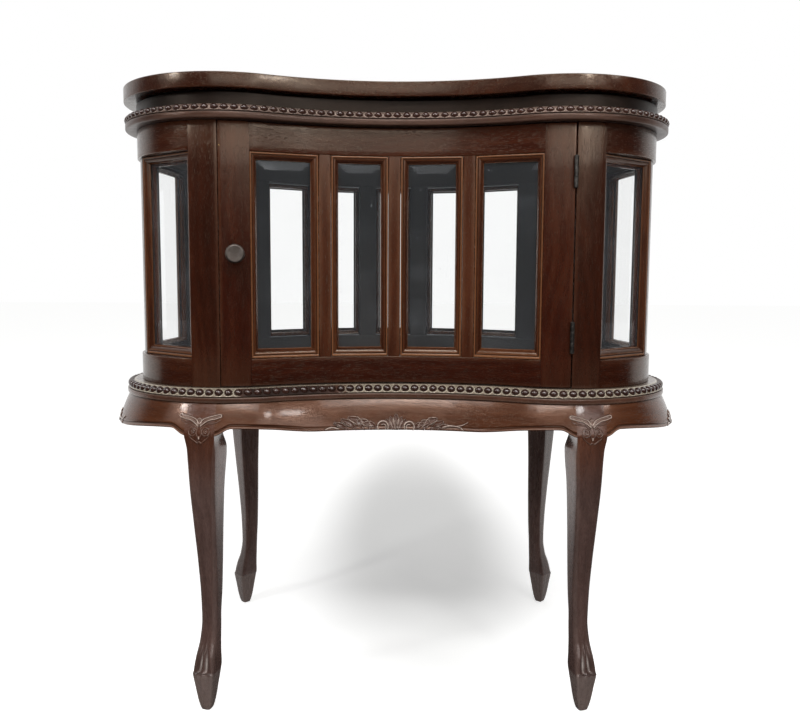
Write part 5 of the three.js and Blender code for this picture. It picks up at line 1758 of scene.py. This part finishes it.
def screw_tree():
    """Slotted countersunk screw heads on points, each facing its own way, its slot at any angle."""
    plan = plug_tree("slotted_screws", [
        ("Head Radius", "NodeSocketFloat", 0.0024),
        ("Proud", "NodeSocketFloat", 0.00012),
        ("Slot Width", "NodeSocketFloat", 0.0005),
        ("Seed", "NodeSocketInt", 11),
        ("Finish", "NodeSocketMaterial", None),
    ])
    given = plan.add("NodeGroupInput").outputs
    radius, proud = Value(plan, given["Head Radius"]), Value(plan, given["Proud"])
    depth, slot_depth = 0.0011, 0.0007

    def lifted(shape, rise):
        up = plan.value("ShaderNodeCombineXYZ", {}, {2: rise})
        sockets = {"Geometry": shape.outputs[0], "Translation": up}
        return plan.add("GeometryNodeTransform", {}, sockets).outputs[0]

    cone = {"Vertices": 24, "Radius Top": radius, "Radius Bottom": radius * 0.45, "Depth": depth}
    head = lifted(plan.add("GeometryNodeMeshCone", {}, cone), proud - depth)
    sides = {0: radius * 2.4, 1: given["Slot Width"], 2: slot_depth}
    size = plan.value("ShaderNodeCombineXYZ", {}, sides)
    slot = lifted(plan.add("GeometryNodeMeshCube", {}, {"Size": size}), proud)
    both = {"Mesh 1": head, "Mesh 2": slot}
    cut = plan.add("GeometryNodeMeshBoolean", {"operation": "DIFFERENCE"}, both)
    facing = {"Vector": facing_of(plan)}
    turned = plan.add("FunctionNodeAlignRotationToVector", {"axis": "Z"}, facing)
    any_turn = {"Min": 0.0, "Max": 3.14, "Seed": given["Seed"]}
    spin = plan.add("FunctionNodeRandomValue", {"data_type": "FLOAT"}, any_turn).outputs[1]
    twist = plan.add("FunctionNodeAxisAngleToRotation", {}, {"Axis": (0, 0, 1), "Angle": spin})
    turns = {"Rotation": turned.outputs[0], "Rotate By": twist.outputs[0]}
    way = plan.add("FunctionNodeRotateRotation", {"rotation_space": "LOCAL"}, turns).outputs[0]
    spots = plan.add("GeometryNodeMeshToPoints", {}, {"Mesh": given["Geometry"]}).outputs[0]
    row = {"Points": spots, "Instance": cut.outputs[0], "Rotation": way}
    heads = plan.add("GeometryNodeInstanceOnPoints", {}, row)
    return finished_tree(plan, heads.outputs[0], given["Finish"])


# ---- Glass -------------------------------------------------------------------------------------


def glaze():
    """Gives the frame's own panes, which stay as they are, the finish of old glass."""
    for name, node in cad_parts.items():
        if "glass" in name:
            for place in node.material_slots:
                place.material = GLASS


# ---- Making it ---------------------------------------------------------------------------------

boards()
case_walls()
fixed_windows()
door()
apron_pieces = aprons()
leg_pieces = [leg(*row) for row in LEGS]
carvings(apron_pieces + leg_pieces)
hardware()
glaze()

# ---- Studio ------------------------------------------------------------------------------------

ROOM_LIGHT = 0.42
MIRRORED_ROOM = 0.035
PAPER_GLOW = 0.6
# The paper's glow inside the painted shadow.
PAINTED_SHADOW_GLOW = 0.2
CAMERA_PLACE = (-0.0009, -1.2168, 0.5465)
CAMERA_LENS = 37.12
CAMERA_PITCH, CAMERA_YAW, CAMERA_ROLL = 0.0984, 0.0054, 0.005

# Each lamp's place, what it is aimed at, its size and its power.
LAMPS = [
    ("key_softbox", (-0.35, -2.2, 3.0), (0, 0, 0.45), (2.1, 1.1), 46.0),
    ("brow_softbox", (0.35, -3.2, 1.48), (0, 0, 0.7), (2.6, 0.8), 14.0),
    ("right_softbox", (1.6, -2.5, 1.6), (0, -0.1, 0.5), (1.0, 1.0), 8.0),
    ("left_softbox", (-2.3, -1.5, 1.85), (0, 0, 0.5), (1.2, 1.0), 5.0),
    ("left_spot", (-1.27, -0.95, 1.22), (-0.25, -0.27, 0.38), (0.16, 0.13), 3.6),
    ("inner_left_spot", (0.63, -1.19, 1.23), (-0.15, -0.22, 0.37), (0.15, 0.10), 1.7),
    ("middle_spot", (0.05, -1.45, 1.6), (0, -0.2, 0.38), (1.0, 0.22), 6.0),
    ("right_spot", (1.23, -0.94, 1.28), (0.25, -0.27, 0.38), (0.2, 0.14), 1.1),
]


def white_surround():
    """A world that looks white, lights plainly and mirrors white only from behind the cabinet."""
    world = bpy.data.worlds.new("studio_white")
    world.use_nodes = True
    bpy.context.scene.world = world
    sky = Finish("studio_white", world.node_tree)
    direction = sky.value("ShaderNodeTexCoord", {}, {}, 0)
    behind = sky.along_axis(direction, 1).above(0.0, 0.5)
    mirrored_ray = sky.ray(3)
    room = ROOM_LIGHT - (ROOM_LIGHT - MIRRORED_ROOM) * mirrored_ray
    strength = (mirrored_ray * behind).most(room).most(sky.ray(0)).most(sky.ray(6))
    light = sky.add("ShaderNodeBackground", {}, {"Color": (1.0, 1.0, 1.0, 1.0), "Strength": strength})
    sky.add("ShaderNodeOutputWorld", {}, {"Surface": light.outputs[0]})


def paper_floor():
    """White paper that takes the shadow, glows to white away from it and mirrors dark in front. The
    glow is weakest in an oval behind the cabinet: a painted shadow that deepens the cast one.
    """
    mesh = bpy.data.meshes.new("studio_floor")
    mesh.from_pydata([(-9, -4, 0), (9, -4, 0), (9, 14, 0), (-9, 14, 0)], [], [(0, 1, 2, 3)])
    floor = placed_object("studio_floor", mesh)
    paper = Finish("studio_paper")
    place = paper.own_place()
    in_front = 1.0 - paper.along_axis(place, 1).above(-0.1, 0.5)
    mirrored_ray = paper.ray(3)
    dark_share = mirrored_ray * in_front
    tone = paper.blend(dark_share, (0.9, 0.9, 0.89, 1.0), (0.03, 0.03, 0.032, 1.0))
    matt = paper.add("ShaderNodeBsdfDiffuse", {}, {"Color": tone})
    # An oval behind the cabinet where the paper glows least: a painted shadow.
    middle = {0: place, 1: (0.045, 0.5, 0.0)}
    centred = paper.value("ShaderNodeVectorMath", {"operation": "SUBTRACT"}, middle)
    painted_shadow_oval = {0: paper.stretched(centred, (5.0, 1.05, 1.0))}
    away = paper.value("ShaderNodeVectorMath", {"operation": "LENGTH"}, painted_shadow_oval, 1)
    shadow_shaped_glow = PAINTED_SHADOW_GLOW + away.above(0.45, 1.3) * (PAPER_GLOW - PAINTED_SHADOW_GLOW)
    shown = paper.ray(0).most(mirrored_ray * (1.0 - in_front))
    lit = {"Color": (1.0, 1.0, 1.0, 1.0), "Strength": shown * shadow_shaped_glow}
    light = paper.add("ShaderNodeEmission", {}, lit)
    both = paper.add("ShaderNodeAddShader", {}, {0: matt.outputs[0], 1: light.outputs[0]})
    mesh.materials.append(paper.surface(both.outputs[0]))


def lamps():
    """Soft lamps in front of the cabinet, each a rectangle."""
    for name, where, aim, size, power in LAMPS:
        lamp = bpy.data.lights.new(name, "AREA")
        lamp.shape = "RECTANGLE"
        lamp.size, lamp.size_y = size
        lamp.energy = power
        holder = placed_object(name, lamp)
        holder.location = where
        way = Vector(aim) - Vector(where)
        holder.rotation_euler = way.to_track_quat("-Z", "Y").to_euler()


def viewpoint():
    """The camera, in front of the cabinet and a little above its middle."""
    camera = bpy.data.cameras.new("viewpoint")
    camera.sensor_width = 36.0
    camera.lens = CAMERA_LENS
    camera.clip_start = 0.05
    viewer = placed_object("viewpoint", camera)
    pitch, yaw, roll = CAMERA_PITCH, CAMERA_YAW, CAMERA_ROLL
    level = math.cos(pitch)
    forward = Vector((math.sin(yaw) * level, math.cos(yaw) * level, -math.sin(pitch)))
    turn = forward.to_track_quat("-Z", "Y").to_matrix().to_4x4()
    spot = Matrix.Translation(CAMERA_PLACE)
    viewer.matrix_world = spot @ turn @ Matrix.Rotation(roll, 4, "Z")
    bpy.context.scene.camera = viewer


bpy.context.scene.view_settings.view_transform = "Standard"
white_surround()
paper_floor()
lamps()
viewpoint()
